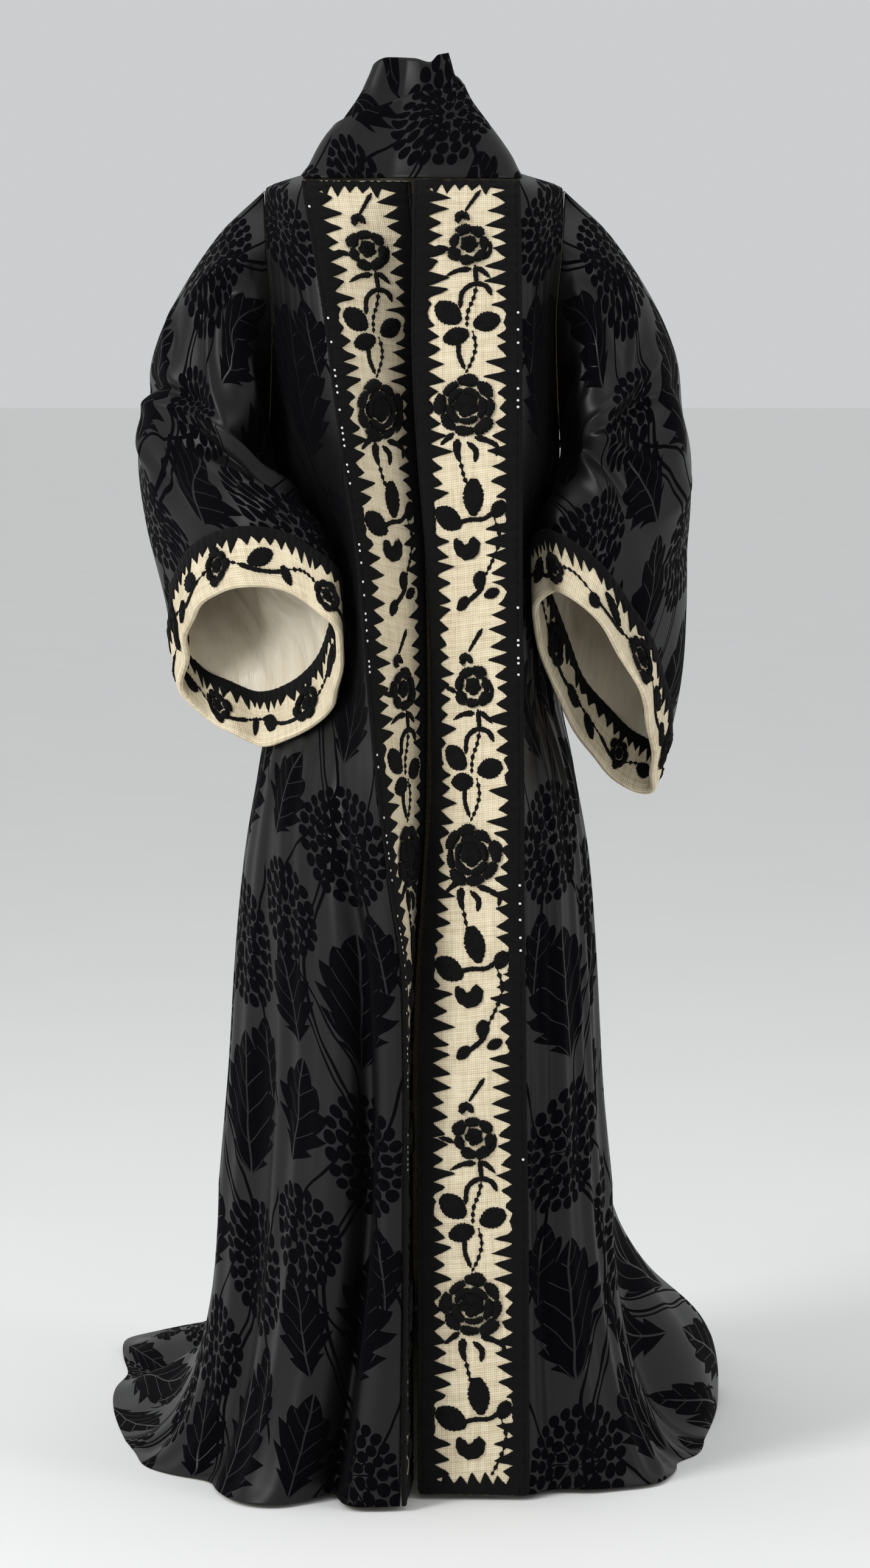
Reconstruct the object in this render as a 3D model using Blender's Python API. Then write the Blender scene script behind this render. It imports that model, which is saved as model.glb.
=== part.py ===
"""Silk evening coat: a wrapped stand collar, bell sleeves, a short train and embroidered bands.

Metres, +Z up. The coat faces -Y and +X is the wearer's left. The origin is at the base of the
neck, level with the shoulders that hold the coat up, and the train lies on the floor at FLOOR.
Every panel is a surface worked out from the section tables below, then given its wall.
"""

import math

import bmesh
import bpy
import numpy as np

# Driving dimensions
FLOOR = -1.340
SKIRT_DROP = 1.060      # below this drop the cloth flows out into the hem and train
SHOULDER_DROP = 0.022   # where the shoulder seam ends and the armhole begins
UNDERARM_DROP = 0.280
CLOTH = 0.0015          # figured velvet
LINING = 0.0012         # satin
TRIM = 0.0015           # canvas of the bands and cuffs
PILE = 0.0010           # chenille borders
SEAM = 0.0003
HEM_CLEAR = 0.004       # front hem above the floor
BAND_WIDTH = 0.108
BORDER_WIDTH = 0.015
CUFF_BORDER = 0.012
TOOTH_REACH = 0.014
TOOTH_PITCH = 0.0175
CUFF_WIDTH = 0.056
COLLAR_SWEEP = 540.0    # degrees wound round the neck
COLLAR_START = 70.0     # inner end, degrees from the front towards the wearer's left
COLLAR_LAYER = 0.0055   # added radius for a full turn

SIGN = {"left": 1.0, "right": -1.0}
INSIDE, OUTSIDE = -1.0, 1.0     # which side of its surface a wall lies on


def table(columns, *rows):
    """A short table as named columns."""
    names = columns.split()
    return {name: np.array([row[i] for row in rows]) for i, name in enumerate(names)}


# Sections of each front. band_x, band_y: outer edge of the band. face: degrees its outer edge
# recedes. curl: degrees the band rolls in by its inner edge. turn, lead: direction and strength
# of the cloth leaving the band. arrive, trail: the same at the side seam or armhole.
# The last row is the hem.
SECTION_COLUMNS = "drop band_x band_y face curl turn lead side_x side_y arrive trail lift"
FRONTS = {
    "left": table(
        SECTION_COLUMNS,
        (0.000, 0.107, -0.076, 14, 2, 60, 0.018, 0.106, 0.000, 90, 0.030, 0.010),
        (0.022, 0.107, -0.093, 13, 4, 40, 0.020, 0.157, 0.000, 90, 0.024, 0.012),
        (0.080, 0.108, -0.117, 10, 9, 30, 0.020, 0.153, -0.056, 55, 0.020, 0.004),
        (0.150, 0.108, -0.142, 7, 16, 30, 0.020, 0.147, -0.068, 60, 0.020, 0.000),
        (0.220, 0.108, -0.166, 1, 24, 45, 0.030, 0.149, -0.052, 70, 0.030, 0.000),
        (0.280, 0.108, -0.181, -3, 31, 65, 0.060, 0.153, 0.000, 90, 0.050, 0.000),
        (0.390, 0.108, -0.196, -8, 42, 98, 0.120, 0.152, 0.000, 90, 0.060, 0.000),
        (0.517, 0.109, -0.203, -10, 46, 96, 0.120, 0.152, 0.000, 90, 0.060, 0.000),
        (0.614, 0.110, -0.207, -10, 46, 70, 0.090, 0.168, 0.000, 90, 0.090, 0.000),
        (0.711, 0.110, -0.210, -7, 42, 40, 0.060, 0.184, 0.000, 90, 0.110, 0.000),
        (0.815, 0.111, -0.213, -2, 34, 25, 0.050, 0.192, 0.000, 90, 0.115, 0.000),
        (0.930, 0.112, -0.217, 0, 22, 18, 0.050, 0.198, 0.000, 90, 0.120, 0.000),
        (1.060, 0.114, -0.224, 0, 12, 14, 0.050, 0.210, 0.000, 90, 0.125, 0.000),
        (1.340, 0.115, -0.238, 0, 6, 8, 0.105, 0.309, 0.010, 86, 0.150, 0.000),
    ),
    "right": table(
        SECTION_COLUMNS,
        (0.000, -0.114, -0.087, 0, 4, 75, 0.012, -0.108, 0.000, 90, 0.030, 0.010),
        (0.022, -0.111, -0.100, -5, 6, 40, 0.018, -0.157, 0.000, 90, 0.024, 0.012),
        (0.080, -0.101, -0.122, -15, 10, 25, 0.020, -0.153, -0.056, 55, 0.020, 0.004),
        (0.150, -0.090, -0.145, -26, 15, 25, 0.025, -0.147, -0.068, 60, 0.020, 0.000),
        (0.220, -0.081, -0.172, -32, 18, 40, 0.035, -0.149, -0.052, 70, 0.030, 0.000),
        (0.280, -0.073, -0.188, -37, 20, 65, 0.070, -0.153, 0.000, 90, 0.050, 0.000),
        (0.390, -0.057, -0.206, -43, 20, 84, 0.140, -0.152, 0.000, 90, 0.060, 0.000),
        (0.517, -0.047, -0.216, -48, 20, 84, 0.140, -0.150, 0.000, 90, 0.060, 0.000),
        (0.614, -0.038, -0.221, -54, 20, 62, 0.100, -0.164, 0.000, 90, 0.090, 0.000),
        (0.711, -0.026, -0.226, -64, 18, 25, 0.060, -0.180, 0.000, 90, 0.110, 0.000),
        (0.815, -0.012, -0.231, -80, 9, -5, 0.050, -0.190, 0.000, 90, 0.120, 0.000),
        (0.930, -0.010, -0.237, -86, 3, -10, 0.050, -0.197, 0.000, 90, 0.125, 0.000),
        (1.060, -0.010, -0.246, -86, 3, -12, 0.060, -0.208, 0.000, 90, 0.130, 0.000),
        (1.340, -0.012, -0.283, -84, 4, -14, 0.130, -0.309, 0.010, 76, 0.200, 0.000),
    ),
}

# Sections of the back. leave, lead: direction and strength at the side seam or armhole.
# spread: half-width of the flat at the centre back. The last row is the hem of the train.
BACK = table(
    "drop side_y leave lead back_y spread lift",
    (0.000, 0.000, 90, 0.040, 0.086, 0.070, 0.022),
    (0.022, 0.000, 90, 0.024, 0.104, 0.100, 0.018),
    (0.080, 0.052, 62, 0.030, 0.120, 0.090, 0.004),
    (0.150, 0.062, 65, 0.030, 0.130, 0.090, 0.000),
    (0.220, 0.048, 72, 0.040, 0.136, 0.095, 0.000),
    (0.280, 0.000, 90, 0.060, 0.139, 0.095, 0.000),
    (0.390, 0.000, 90, 0.080, 0.142, 0.095, 0.000),
    (0.517, 0.000, 90, 0.085, 0.148, 0.095, 0.000),
    (0.614, 0.000, 90, 0.090, 0.158, 0.100, 0.000),
    (0.711, 0.000, 90, 0.095, 0.174, 0.100, 0.000),
    (0.815, 0.000, 90, 0.105, 0.197, 0.105, 0.000),
    (0.930, 0.000, 90, 0.120, 0.228, 0.110, 0.000),
    (1.060, 0.000, 90, 0.140, 0.272, 0.120, 0.000),
    (1.340, 0.010, 101, 0.400, 0.680, 0.350, 0.000),
)

# Folds of the skirt. at: share of the way from the band to the side seam, or across the back.
# depth: out at the hem, with minus for a trough. start: share of the length where it begins.
FOLD_COLUMNS = "at width depth start"
FOLDS = {
    "left": table(FOLD_COLUMNS, (0.12, 0.08, -0.016, 0.42), (0.46, 0.12, 0.014, 0.40),
                  (0.74, 0.08, -0.012, 0.55)),
    "right": table(FOLD_COLUMNS, (0.23, 0.06, -0.052, 0.45), (0.40, 0.11, 0.020, 0.42),
                   (0.62, 0.07, -0.016, 0.50), (0.80, 0.08, 0.010, 0.50)),
    "back": table(FOLD_COLUMNS, (0.14, 0.040, -0.016, 0.40), (0.24, 0.045, 0.016, 0.35),
                  (0.36, 0.040, -0.018, 0.30), (0.50, 0.060, 0.020, 0.20),
                  (0.64, 0.040, -0.018, 0.30), (0.76, 0.045, 0.016, 0.35),
                  (0.86, 0.040, -0.016, 0.40)),
}
# Ridges where the train breaks on the floor. rise: height above it.
RIDGES = table("at width rise", (0.10, 0.030, 0.020), (0.22, 0.035, 0.026), (0.37, 0.030, 0.018),
               (0.52, 0.035, 0.022), (0.66, 0.030, 0.018), (0.80, 0.035, 0.026),
               (0.91, 0.030, 0.020))

# Rings of each sleeve, outwards from the body: centre, half-axis to the outer side, half-axis
# to the front. The first ring is the armhole and comes from the panels.
RING_COLUMNS = "share x y z out_x out_y out_z fore_x fore_y fore_z"
UPPER_RINGS = (
    (0.17, 0.181, 0.000, -0.163, 0.029, 0.000, 0.101, -0.004, -0.098, 0.000),
    (0.36, 0.2015, 0.002, -0.223, 0.0655, 0.004, 0.065, -0.014, -0.112, 0.012),
    (0.54, 0.213, -0.005, -0.290, 0.080, 0.030, 0.030, -0.012, -0.116, 0.030),
)
SLEEVES = {
    "left": table(
        RING_COLUMNS, *UPPER_RINGS,
        (0.72, 0.206, -0.035, -0.375, 0.082, 0.052, -0.030, 0.010, -0.094, 0.050),
        (0.86, 0.197, -0.072, -0.445, 0.080, 0.052, -0.088, 0.020, -0.074, 0.050),
        (1.00, 0.187, -0.098, -0.527, 0.061, 0.045, -0.101, 0.028, -0.052, 0.040),
    ),
    "right": table(
        RING_COLUMNS, *UPPER_RINGS,
        (0.72, 0.192, -0.040, -0.362, 0.092, 0.062, 0.000, 0.006, -0.096, 0.052),
        (0.86, 0.166, -0.084, -0.425, 0.094, 0.062, -0.014, 0.012, -0.068, 0.072),
        (1.00, 0.156, -0.106, -0.500, 0.088, 0.064, -0.012, 0.018, -0.046, 0.086),
    ),
}
BODY_MARGIN = 0.011     # the sleeves stay this far out of the fronts that they lie against
# Drag folds of the sleeves: angle round the sleeve from its outer side towards the front.
SLEEVE_FOLDS = table(
    "angle share spread length depth",
    (60, 0.30, 18, 0.22, -0.010),
    (95, 0.42, 16, 0.20, 0.010),
    (125, 0.52, 16, 0.18, -0.010),
    (40, 0.55, 16, 0.14, 0.009),
    (80, 0.62, 20, 0.07, -0.012),
    (0, 0.50, 26, 0.06, -0.008),
    (-60, 0.45, 20, 0.25, 0.010),
    (-110, 0.55, 20, 0.25, -0.010),
)
CUFF_WAVES = {"left": (3, 0.5, 0.004), "right": (4, 1.1, 0.006)}  # count, phase, height

# Cone of the collar: share of the neckline's radius left at each height.
CONE = table("height share", (0.000, 1.00), (0.012, 0.93), (0.028, 0.85), (0.060, 0.66),
             (0.095, 0.45), (0.135, 0.32))
# Upper edge of the collar along its winding, in degrees from its inner end.
COLLAR_EDGE = table("sweep top", (0, 0.134), (14, 0.124), (60, 0.127), (110, 0.128), (150, 0.114),
                    (190, 0.116), (250, 0.124), (320, 0.112), (370, 0.098), (430, 0.090),
                    (465, 0.076), (495, 0.056), (540, 0.040))

# Embroidered motifs of one repeat of the vine: distance down the repeat and off the centre.
REPEAT = 0.456
REPEATS = 3
MOTIFS = table("kind down off size", (0, 0.075, 0.004, 0.026), (1, 0.160, -0.002, 0.031),
               (0, 0.246, 0.001, 0.035), (1, 0.362, -0.003, 0.033))
ROSE, TREFOIL = 0, 1
ROSE_RISE = 0.0042
LEAF_RISE = 0.0026
CUFF_ROSES = table("angle down size", (75, 0.026, 0.020), (15, 0.030, 0.020))

# Mesh density
PANEL_STEPS = 9
BAND_COLUMNS = np.array([0.0, 0.27, 0.42, 0.58, 0.73, 1.0])
BACK_STEPS = 20
SLEEVE_STEPS = 20
SLEEVE_ROWS = 10
TEETH_PER_CELL = 2      # round the cuffs
LINING_ROW = 5          # row of the sleeve where the lining begins
COLLAR_STEPS = 36
COLLAR_ROWS = 3

MATERIALS = {
    "velvet": ((0.012, 0.012, 0.013), 0.62),
    "chenille": ((0.008, 0.008, 0.009), 0.95),
    "canvas": ((0.66, 0.55, 0.36), 0.80),
    "satin": ((0.62, 0.56, 0.42), 0.35),
}


# Curves and tables

def smooth_track(knots, values, at):
    """Shape-preserving cubic through a column of a table."""
    step = np.diff(knots)
    slope = np.diff(values) / step
    tangent = np.concatenate([slope[:1], np.zeros(len(slope) - 1), slope[-1:]])
    same = slope[:-1] * slope[1:] > 0
    pair = slope[:-1] + slope[1:]
    tangent[1:-1][same] = 2 * (slope[:-1] * slope[1:])[same] / pair[same]
    at = np.asarray(at, float)
    i = np.clip(np.searchsorted(knots, at, side="right") - 1, 0, len(step) - 1)
    s = np.clip((at - knots[i]) / step[i], 0, 1)
    return ((1 + 2 * s) * (1 - s) ** 2 * values[i] + s * (1 - s) ** 2 * step[i] * tangent[i]
            + s * s * (3 - 2 * s) * values[i + 1] + s * s * (s - 1) * step[i] * tangent[i + 1])


def section_at(sections, drop):
    """Each column of a section table at a drop above the skirt's flow."""
    names = [name for name in sections if name != "drop"]
    return {n: smooth_track(sections["drop"][:-1], sections[n][:-1], drop) for n in names}


def hem_of(sections):
    return {name: column[-1] for name, column in sections.items()}


def ease(x):
    x = np.clip(x, 0, 1)
    return x * x * (3 - 2 * x)


def bezier(t, start, lead, trail, end):
    r = 1 - t
    return r ** 3 * start + 3 * r * r * t * lead + 3 * r * t * t * trail + t ** 3 * end


def normals_of(point_at, u, v, du, dv, sign):
    """Outward unit normals of a surface given as a function of two parameters."""
    along = point_at(u + du, v) - point_at(u - du, v)
    down = point_at(u, v + dv) - point_at(u, v - dv)
    normal = sign * np.cross(along, down)
    return normal / np.maximum(np.linalg.norm(normal, axis=-1, keepdims=True), 1e-12)


# Body panels

SKIRT_SHARE = SKIRT_DROP / -FLOOR


def fold_depth(name, at, v):
    """How far the folds of a panel stand out at a share across it and down it."""
    depth = np.zeros(np.broadcast(at, v).shape)
    for i in range(len(FOLDS[name]["at"])):
        fold = {key: column[i] for key, column in FOLDS[name].items()}
        grow = np.clip((v - fold["start"]) / (1 - fold["start"]), 0, 1)
        depth = depth + fold["depth"] * grow * np.exp(-((at - fold["at"]) / fold["width"]) ** 2)
    return depth


def front_outline(side, u, row):
    """Section of a front: u runs 0 to 1 across the band from its inner edge, then to 2 at the side."""
    s = SIGN[side]
    face, curl = np.radians(row["face"]), np.radians(row["curl"])
    inward = face - curl * np.clip(1 - u, 0, 1)
    band_x = row["band_x"] - s * BAND_WIDTH * (np.sin(face) - np.sin(inward)) / curl
    band_y = row["band_y"] - BAND_WIDTH * (np.cos(inward) - np.cos(face)) / curl
    turn, arrive = np.radians(row["turn"]), np.radians(row["arrive"])
    t = np.clip(u - 1, 0, 1)
    side_y = row["side_y"] - SEAM
    x = bezier(t, row["band_x"], row["band_x"] + s * row["lead"] * np.cos(turn),
               row["side_x"] - s * row["trail"] * np.cos(arrive), row["side_x"])
    y = bezier(t, row["band_y"], row["band_y"] + row["lead"] * np.sin(turn),
               side_y - row["trail"] * np.sin(arrive), side_y)
    return np.where(u <= 1, band_x, x), np.where(u <= 1, band_y, y)


def folded_outline(outline, name, at, u, v, row, sign):
    """An outline with the folds of its panel added along its outward normal."""
    nudge = 1e-3
    x, y = outline(u, row)
    x2, y2 = outline(u + nudge, row)
    x1, y1 = outline(u - nudge, row)
    length = np.maximum(np.hypot(x2 - x1, y2 - y1), 1e-9)
    depth = fold_depth(name, at, v)
    return x + sign * depth * (y2 - y1) / length, y - sign * depth * (x2 - x1) / length


def flow(v, upper, hem, top_z, hem_z, settle, spring=0.0):
    """Cloth that drops from the skirt's ring to the hem. settle: how far it turns along the floor.
    spring: how far it springs out from the ring instead."""
    w = np.clip((v - SKIRT_SHARE) / (1 - SKIRT_SHARE), 0, 1)
    out = bezier(w, 0.0, 0.02 + 0.25 * (1 - settle) + 0.08 * spring,
                 0.34 + 0.30 * (1 - settle) + 0.71 * spring, 1.0)
    fall = hem_z - top_z
    z = bezier(w, top_z, top_z + (0.33 + 0.27 * settle - 0.20 * spring) * fall,
               top_z + (0.67 + 0.33 * settle - 0.30 * spring) * fall, hem_z)
    return upper[0] + (hem[0] - upper[0]) * out, upper[1] + (hem[1] - upper[1]) * out, z, w


def front_point(side, u, v):
    """A point of a front panel: u across as in front_outline, v from the neck to the hem."""
    u, v = np.broadcast_arrays(np.asarray(u, float), np.asarray(v, float))
    row = section_at(FRONTS[side], np.minimum(v / SKIRT_SHARE, 1) * SKIRT_DROP)
    at = u - 1
    quiet = ease(at / 0.06) * ease((1 - at) / 0.06)

    def outline(where, values):
        return front_outline(side, where, values)

    def folded(values, level):
        x, y = outline(u, values)
        fx, fy = folded_outline(outline, side, at, u, level, values, SIGN[side])
        return x + (fx - x) * quiet, y + (fy - y) * quiet

    upper = folded(row, np.minimum(v, SKIRT_SHARE))
    hem = folded(hem_of(FRONTS[side]), np.ones_like(v))
    top_z = -np.minimum(v / SKIRT_SHARE, 1) * SKIRT_DROP + row["lift"] * ease(at)
    hem_z = FLOOR + CLOTH + HEM_CLEAR * (1 - ease(at))
    x, y, z, _ = flow(v, upper, hem, top_z, hem_z, ease(at))
    return np.stack([x, y, z], axis=-1)


def back_outline(u, row, sides):
    """Section of the back: u runs 0 to 1 from the wearer's right side to the left."""
    s = np.where(u < 0.5, -1.0, 1.0)
    t = np.clip(1 - 2 * np.abs(u - 0.5), 0, 1)
    side_x = np.where(u < 0.5, sides[0], sides[1])
    leave = np.radians(row["leave"])
    side_y = row["side_y"] + SEAM
    x = bezier(t, side_x, side_x - s * row["lead"] * np.cos(leave), s * row["spread"], 0.0)
    y = bezier(t, side_y, side_y + row["lead"] * np.sin(leave), row["back_y"], row["back_y"])
    return x, y


def back_point(u, v):
    """A point of the back panel: u as in back_outline, v from the neck to the train's hem."""
    u, v = np.broadcast_arrays(np.asarray(u, float), np.asarray(v, float))
    drop = np.minimum(v / SKIRT_SHARE, 1) * SKIRT_DROP
    row = section_at(BACK, drop)
    fronts = [section_at(FRONTS[side], drop) for side in ("right", "left")]
    hems = [hem_of(FRONTS[side]) for side in ("right", "left")]
    quiet = ease(u / 0.05) * ease((1 - u) / 0.05)

    def folded(values, sides, level):
        def outline(where, given):
            return back_outline(where, given, sides)
        x, y = outline(u, values)
        fx, fy = folded_outline(outline, "back", u, u, level, values, -1.0)
        return x + (fx - x) * quiet, y + (fy - y) * quiet

    upper = folded(row, [f["side_x"] for f in fronts], np.minimum(v, SKIRT_SHARE))
    hem = folded(hem_of(BACK), [h["side_x"] for h in hems], np.ones_like(v))
    centre = ease(1 - 2 * np.abs(u - 0.5))
    top_z = -drop + fronts[0]["lift"] * (1 - centre) + row["lift"] * centre
    spring = ease((1 - u) / 0.05) * (1 - ease((1 - u - 0.12) / 0.16))
    x, y, z, w = flow(v, upper, hem, top_z, FLOOR + CLOTH, 1.0, spring)
    grow = quiet * ease((w - 0.35) / 0.4) * (1 - 0.8 * ease((w - 0.8) / 0.2))
    for i in range(len(RIDGES["at"])):
        shape = np.exp(-((u - RIDGES["at"][i]) / RIDGES["width"][i]) ** 2)
        z = z + RIDGES["rise"][i] * shape * grow
    return np.stack([x, y, z], axis=-1)


# Sleeves

def armhole(side, angle):
    """The armhole seam: angle 0 at the shoulder, a quarter turn at the front of the arm."""
    turn = np.mod(angle, 2 * math.pi)
    drop = SHOULDER_DROP + (UNDERARM_DROP - SHOULDER_DROP) * (1 - np.cos(turn)) / 2
    v = drop / SKIRT_DROP * SKIRT_SHARE
    front = front_point(side, np.full_like(v, 2.0), v)
    back = back_point(np.full_like(v, 1.0 if side == "left" else 0.0), v)
    loop = np.where((turn < math.pi)[..., None], front, back)
    return loop + np.array([SIGN[side] * 2 * SEAM, 0, 0])


def sleeve_point(side, angle, share):
    """A point of a sleeve: angle round it from the outer side to the front, share from 0 to 1."""
    angle, share = np.broadcast_arrays(np.asarray(angle, float), np.asarray(share, float))
    rings = SLEEVES[side]
    s = SIGN[side]
    turn = [np.cos(angle), np.sin(angle)]
    knots = np.concatenate([[0.0], rings["share"]])
    seam = armhole(side, angle)
    place = []
    for i, axis in enumerate("xyz"):
        mirror = s if axis == "x" else 1.0
        out, fore = rings["out_" + axis], rings["fore_" + axis]
        ring = [rings[axis][k] + out[k] * turn[0] + fore[k] * turn[1]
                for k in range(len(rings["share"]))]
        place.append(track_rings(knots, [seam[..., i]] + [mirror * r for r in ring], share))
    return np.stack(place, axis=-1)


def track_rings(knots, columns, share):
    """Catmull-Rom curve through the rings, each column being one ring's values."""
    columns = np.stack(columns)
    tangent = np.gradient(columns, knots, axis=0)
    i = np.clip(np.searchsorted(knots, share, side="right") - 1, 0, len(knots) - 2)
    step = knots[i + 1] - knots[i]
    s = (share - knots[i]) / step

    def at(values, ring):
        return np.take_along_axis(values, ring[None], 0)[0]

    return ((1 + 2 * s) * (1 - s) ** 2 * at(columns, i) + s * (1 - s) ** 2 * step * at(tangent, i)
            + s * s * (3 - 2 * s) * at(columns, i + 1) + s * s * (s - 1) * step * at(tangent, i + 1))


def clear_of_body(side, point, share):
    """Pushes a sleeve's points out of the front that it lies against."""
    row = section_at(FRONTS[side], np.clip(-point[..., 2], 0, SKIRT_DROP))
    outline = [front_outline(side, u, row) for u in np.linspace(1, 2, 13)]
    wall = np.abs(outline[0][0])
    for (x1, y1), (x2, y2) in zip(outline[:-1], outline[1:]):
        t = np.clip((point[..., 1] - y1) / np.maximum(y2 - y1, 1e-6), 0, 1)
        wall = np.where(t > 0, np.abs(x1 + (x2 - x1) * t), wall)
    room = np.abs(point[..., 0]) - wall - BODY_MARGIN * ease(share / 0.25)
    soft = 0.010 * ease(share / 0.25) + 1e-6
    eased = soft * np.logaddexp(0, room / soft)
    x = np.where(share > 0, SIGN[side] * (np.abs(point[..., 0]) - room + eased), point[..., 0])
    return np.stack([x, point[..., 1], point[..., 2]], axis=-1)


def sleeve_cloth(side, angle, share):
    """A sleeve's point with the drag folds, the waves of the mouth and room for the body."""
    def plain(a, b):
        return sleeve_point(side, a, b)

    place = plain(angle, share)
    normal = normals_of(plain, angle, np.clip(share, 0.02, 0.99), 0.02, 0.01, SIGN[side])
    count, phase, height = CUFF_WAVES[side]
    depth = height * np.cos(count * angle + phase) * ease((share - 0.7) / 0.3)
    for i in range(len(SLEEVE_FOLDS["angle"])):
        fold = {key: column[i] for key, column in SLEEVE_FOLDS.items()}
        away = np.degrees(np.angle(np.exp(1j * (angle - math.radians(fold["angle"])))))
        along = (share - fold["share"]) / fold["length"]
        shape = np.exp(-(away / fold["spread"]) ** 2 - along ** 2)
        depth = depth + fold["depth"] * shape * ease(share / 0.15)
    return clear_of_body(side, place + normal * depth[..., None], share)


def share_from_mouth(side, angle, distance):
    """Share along a sleeve at a distance back from its mouth."""
    mouth = sleeve_point(side, angle, np.ones_like(angle))
    gap = mouth - sleeve_point(side, angle, np.full_like(angle, 0.86))
    return 1 - 0.14 * distance / np.linalg.norm(gap, axis=-1)


# Grids of points, and layers that lie on them

def panel_rows():
    """Shares down a body panel, with the shoulder's and the underarm's rows among them."""
    turn = np.radians([0, 36, 72, 90, 108, 144, 180])
    above = (SHOULDER_DROP + (UNDERARM_DROP - SHOULDER_DROP) * (1 - np.cos(turn)) / 2) / -FLOOR
    below = np.linspace(above[-1], SKIRT_SHARE, 14)[1:]
    return np.concatenate([[0.0], above, below, np.linspace(SKIRT_SHARE, 1, 8)[1:]])


def grid_normals(points, sign, closed=False):
    """Unit normals at the points of a grid, from the faces round them."""
    face = np.cross(points[1:, 1:] - points[:-1, :-1], points[1:, :-1] - points[:-1, 1:])
    normal = np.zeros_like(points)
    for part in (np.s_[1:, 1:], np.s_[1:, :-1], np.s_[:-1, 1:], np.s_[:-1, :-1]):
        normal[part] += face
    if closed:
        normal[:, 0] += normal[:, -1]
        normal[:, -1] = normal[:, 0]
    return -sign * normal / np.linalg.norm(normal, axis=-1, keepdims=True)


def on_grid(points, normals, row, column, rise, slack=2.2):
    """A point over a grid, at fractional row and column numbers. slack: lift per twist of a cell."""
    row, column = np.broadcast_arrays(np.asarray(row, float), np.asarray(column, float))
    i = np.clip(np.floor(row).astype(int), 0, points.shape[0] - 2)
    j = np.clip(np.floor(column).astype(int), 0, points.shape[1] - 2)
    a, b = (row - i)[..., None], (column - j)[..., None]

    def mix(grid):
        """Between the corners of the triangle that the panel has here."""
        before = grid[i, j] + b * (grid[i, j + 1] - grid[i, j]) + a * (grid[i + 1, j + 1] - grid[i, j + 1])
        after = grid[i, j] + a * (grid[i + 1, j] - grid[i, j]) + b * (grid[i + 1, j + 1] - grid[i + 1, j])
        return np.where(b > a, before, after)

    return mix(points) + (rise + math.copysign(slack, rise) * mix(twist_of(points))) * mix(normals)


def twist_of(points):
    """How far the cells round each point of a grid are out of flat."""
    cell = points[1:, 1:] - points[1:, :-1] - points[:-1, 1:] + points[:-1, :-1]
    size = np.linalg.norm(cell, axis=-1, keepdims=True) / 4
    twist = np.zeros_like(points[..., :1])
    for part in (np.s_[1:, 1:], np.s_[1:, :-1], np.s_[:-1, 1:], np.s_[:-1, :-1]):
        twist[part] = np.maximum(twist[part], size)
    return twist


def band_grid(side):
    """The band's points, their normals and the distance of each row from the top."""
    rows = panel_rows()
    rows[0] = 0.0035
    points = front_point(side, BAND_COLUMNS[None, :], rows[:, None])
    normals = grid_normals(points, SIGN[side])
    steps = np.linalg.norm(np.diff(points[:, 2], axis=0), axis=1)
    return points + SEAM * normals, normals, np.concatenate([[0.0], np.cumsum(steps)])


def sleeve_grid(side):
    """The sleeve's points and normals. Its last two rows lie under the cuff."""
    angle = np.linspace(0, 2 * math.pi, SLEEVE_STEPS + 1)
    edge = share_from_mouth(side, angle, np.full_like(angle, CUFF_WIDTH))
    shares = [edge * k / SLEEVE_ROWS for k in range(SLEEVE_ROWS + 1)]
    shares += [(1 + edge) / 2, np.ones_like(edge)]
    points = np.stack([sleeve_cloth(side, angle, share) for share in shares])
    points[:, -1] = points[:, 0]
    return points, grid_normals(points, -SIGN[side], closed=True)


# Building solids

def material(name):
    found = bpy.data.materials.get(name)
    if found:
        return found
    colour, roughness = MATERIALS[name]
    made = bpy.data.materials.new(name)
    made.use_nodes = True
    shader = made.node_tree.nodes["Principled BSDF"]
    shader.inputs["Base Color"].default_value = (*colour, 1.0)
    shader.inputs["Roughness"].default_value = roughness
    shader.inputs["Metallic"].default_value = 0.0
    return made


def finish(name, bm, cloth, thickness, offset):
    """Makes an object of a surface and gives it its wall."""
    mesh = bpy.data.meshes.new(name)
    bm.to_mesh(mesh)
    bm.free()
    mesh.shade_smooth()
    mesh.materials.append(material(cloth))
    made = bpy.data.objects.new(name, mesh)
    bpy.context.scene.collection.objects.link(made)
    if thickness:
        wall = made.modifiers.new("wall", "SOLIDIFY")
        wall.thickness = thickness
        wall.offset = offset
    return made


def panel(name, points, cloth, thickness, offset, sign, closed=False):
    """A cloth panel from a grid of points, rows running down it."""
    rows, columns = points.shape[:2]
    bm = bmesh.new()
    bmesh.ops.create_grid(bm, x_segments=columns - 1, y_segments=rows - 1, size=1.0)
    for vert in bm.verts:
        column = round((vert.co.x + 1) / 2 * (columns - 1))
        row = round((vert.co.y + 1) / 2 * (rows - 1))
        vert.co = points[row, column]
    if closed:
        bmesh.ops.remove_doubles(bm, verts=bm.verts, dist=1e-6)
    bmesh.ops.triangulate(bm, faces=bm.faces, quad_method="FIXED")
    if sign > 0:
        bmesh.ops.reverse_faces(bm, faces=bm.faces)
    return finish(name, bm, cloth, thickness, offset)


def back():
    u = np.linspace(0, 1, BACK_STEPS + 1)
    panel("back", back_point(u[None, :], panel_rows()[:, None]), "velvet", CLOTH, INSIDE, -1.0)


def front(side):
    u = 1 + np.linspace(0.004, 1, PANEL_STEPS + 1)
    points = front_point(side, u[None, :], panel_rows()[:, None])
    panel(f"front_{side}", points, "velvet", CLOTH, INSIDE, SIGN[side])


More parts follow.
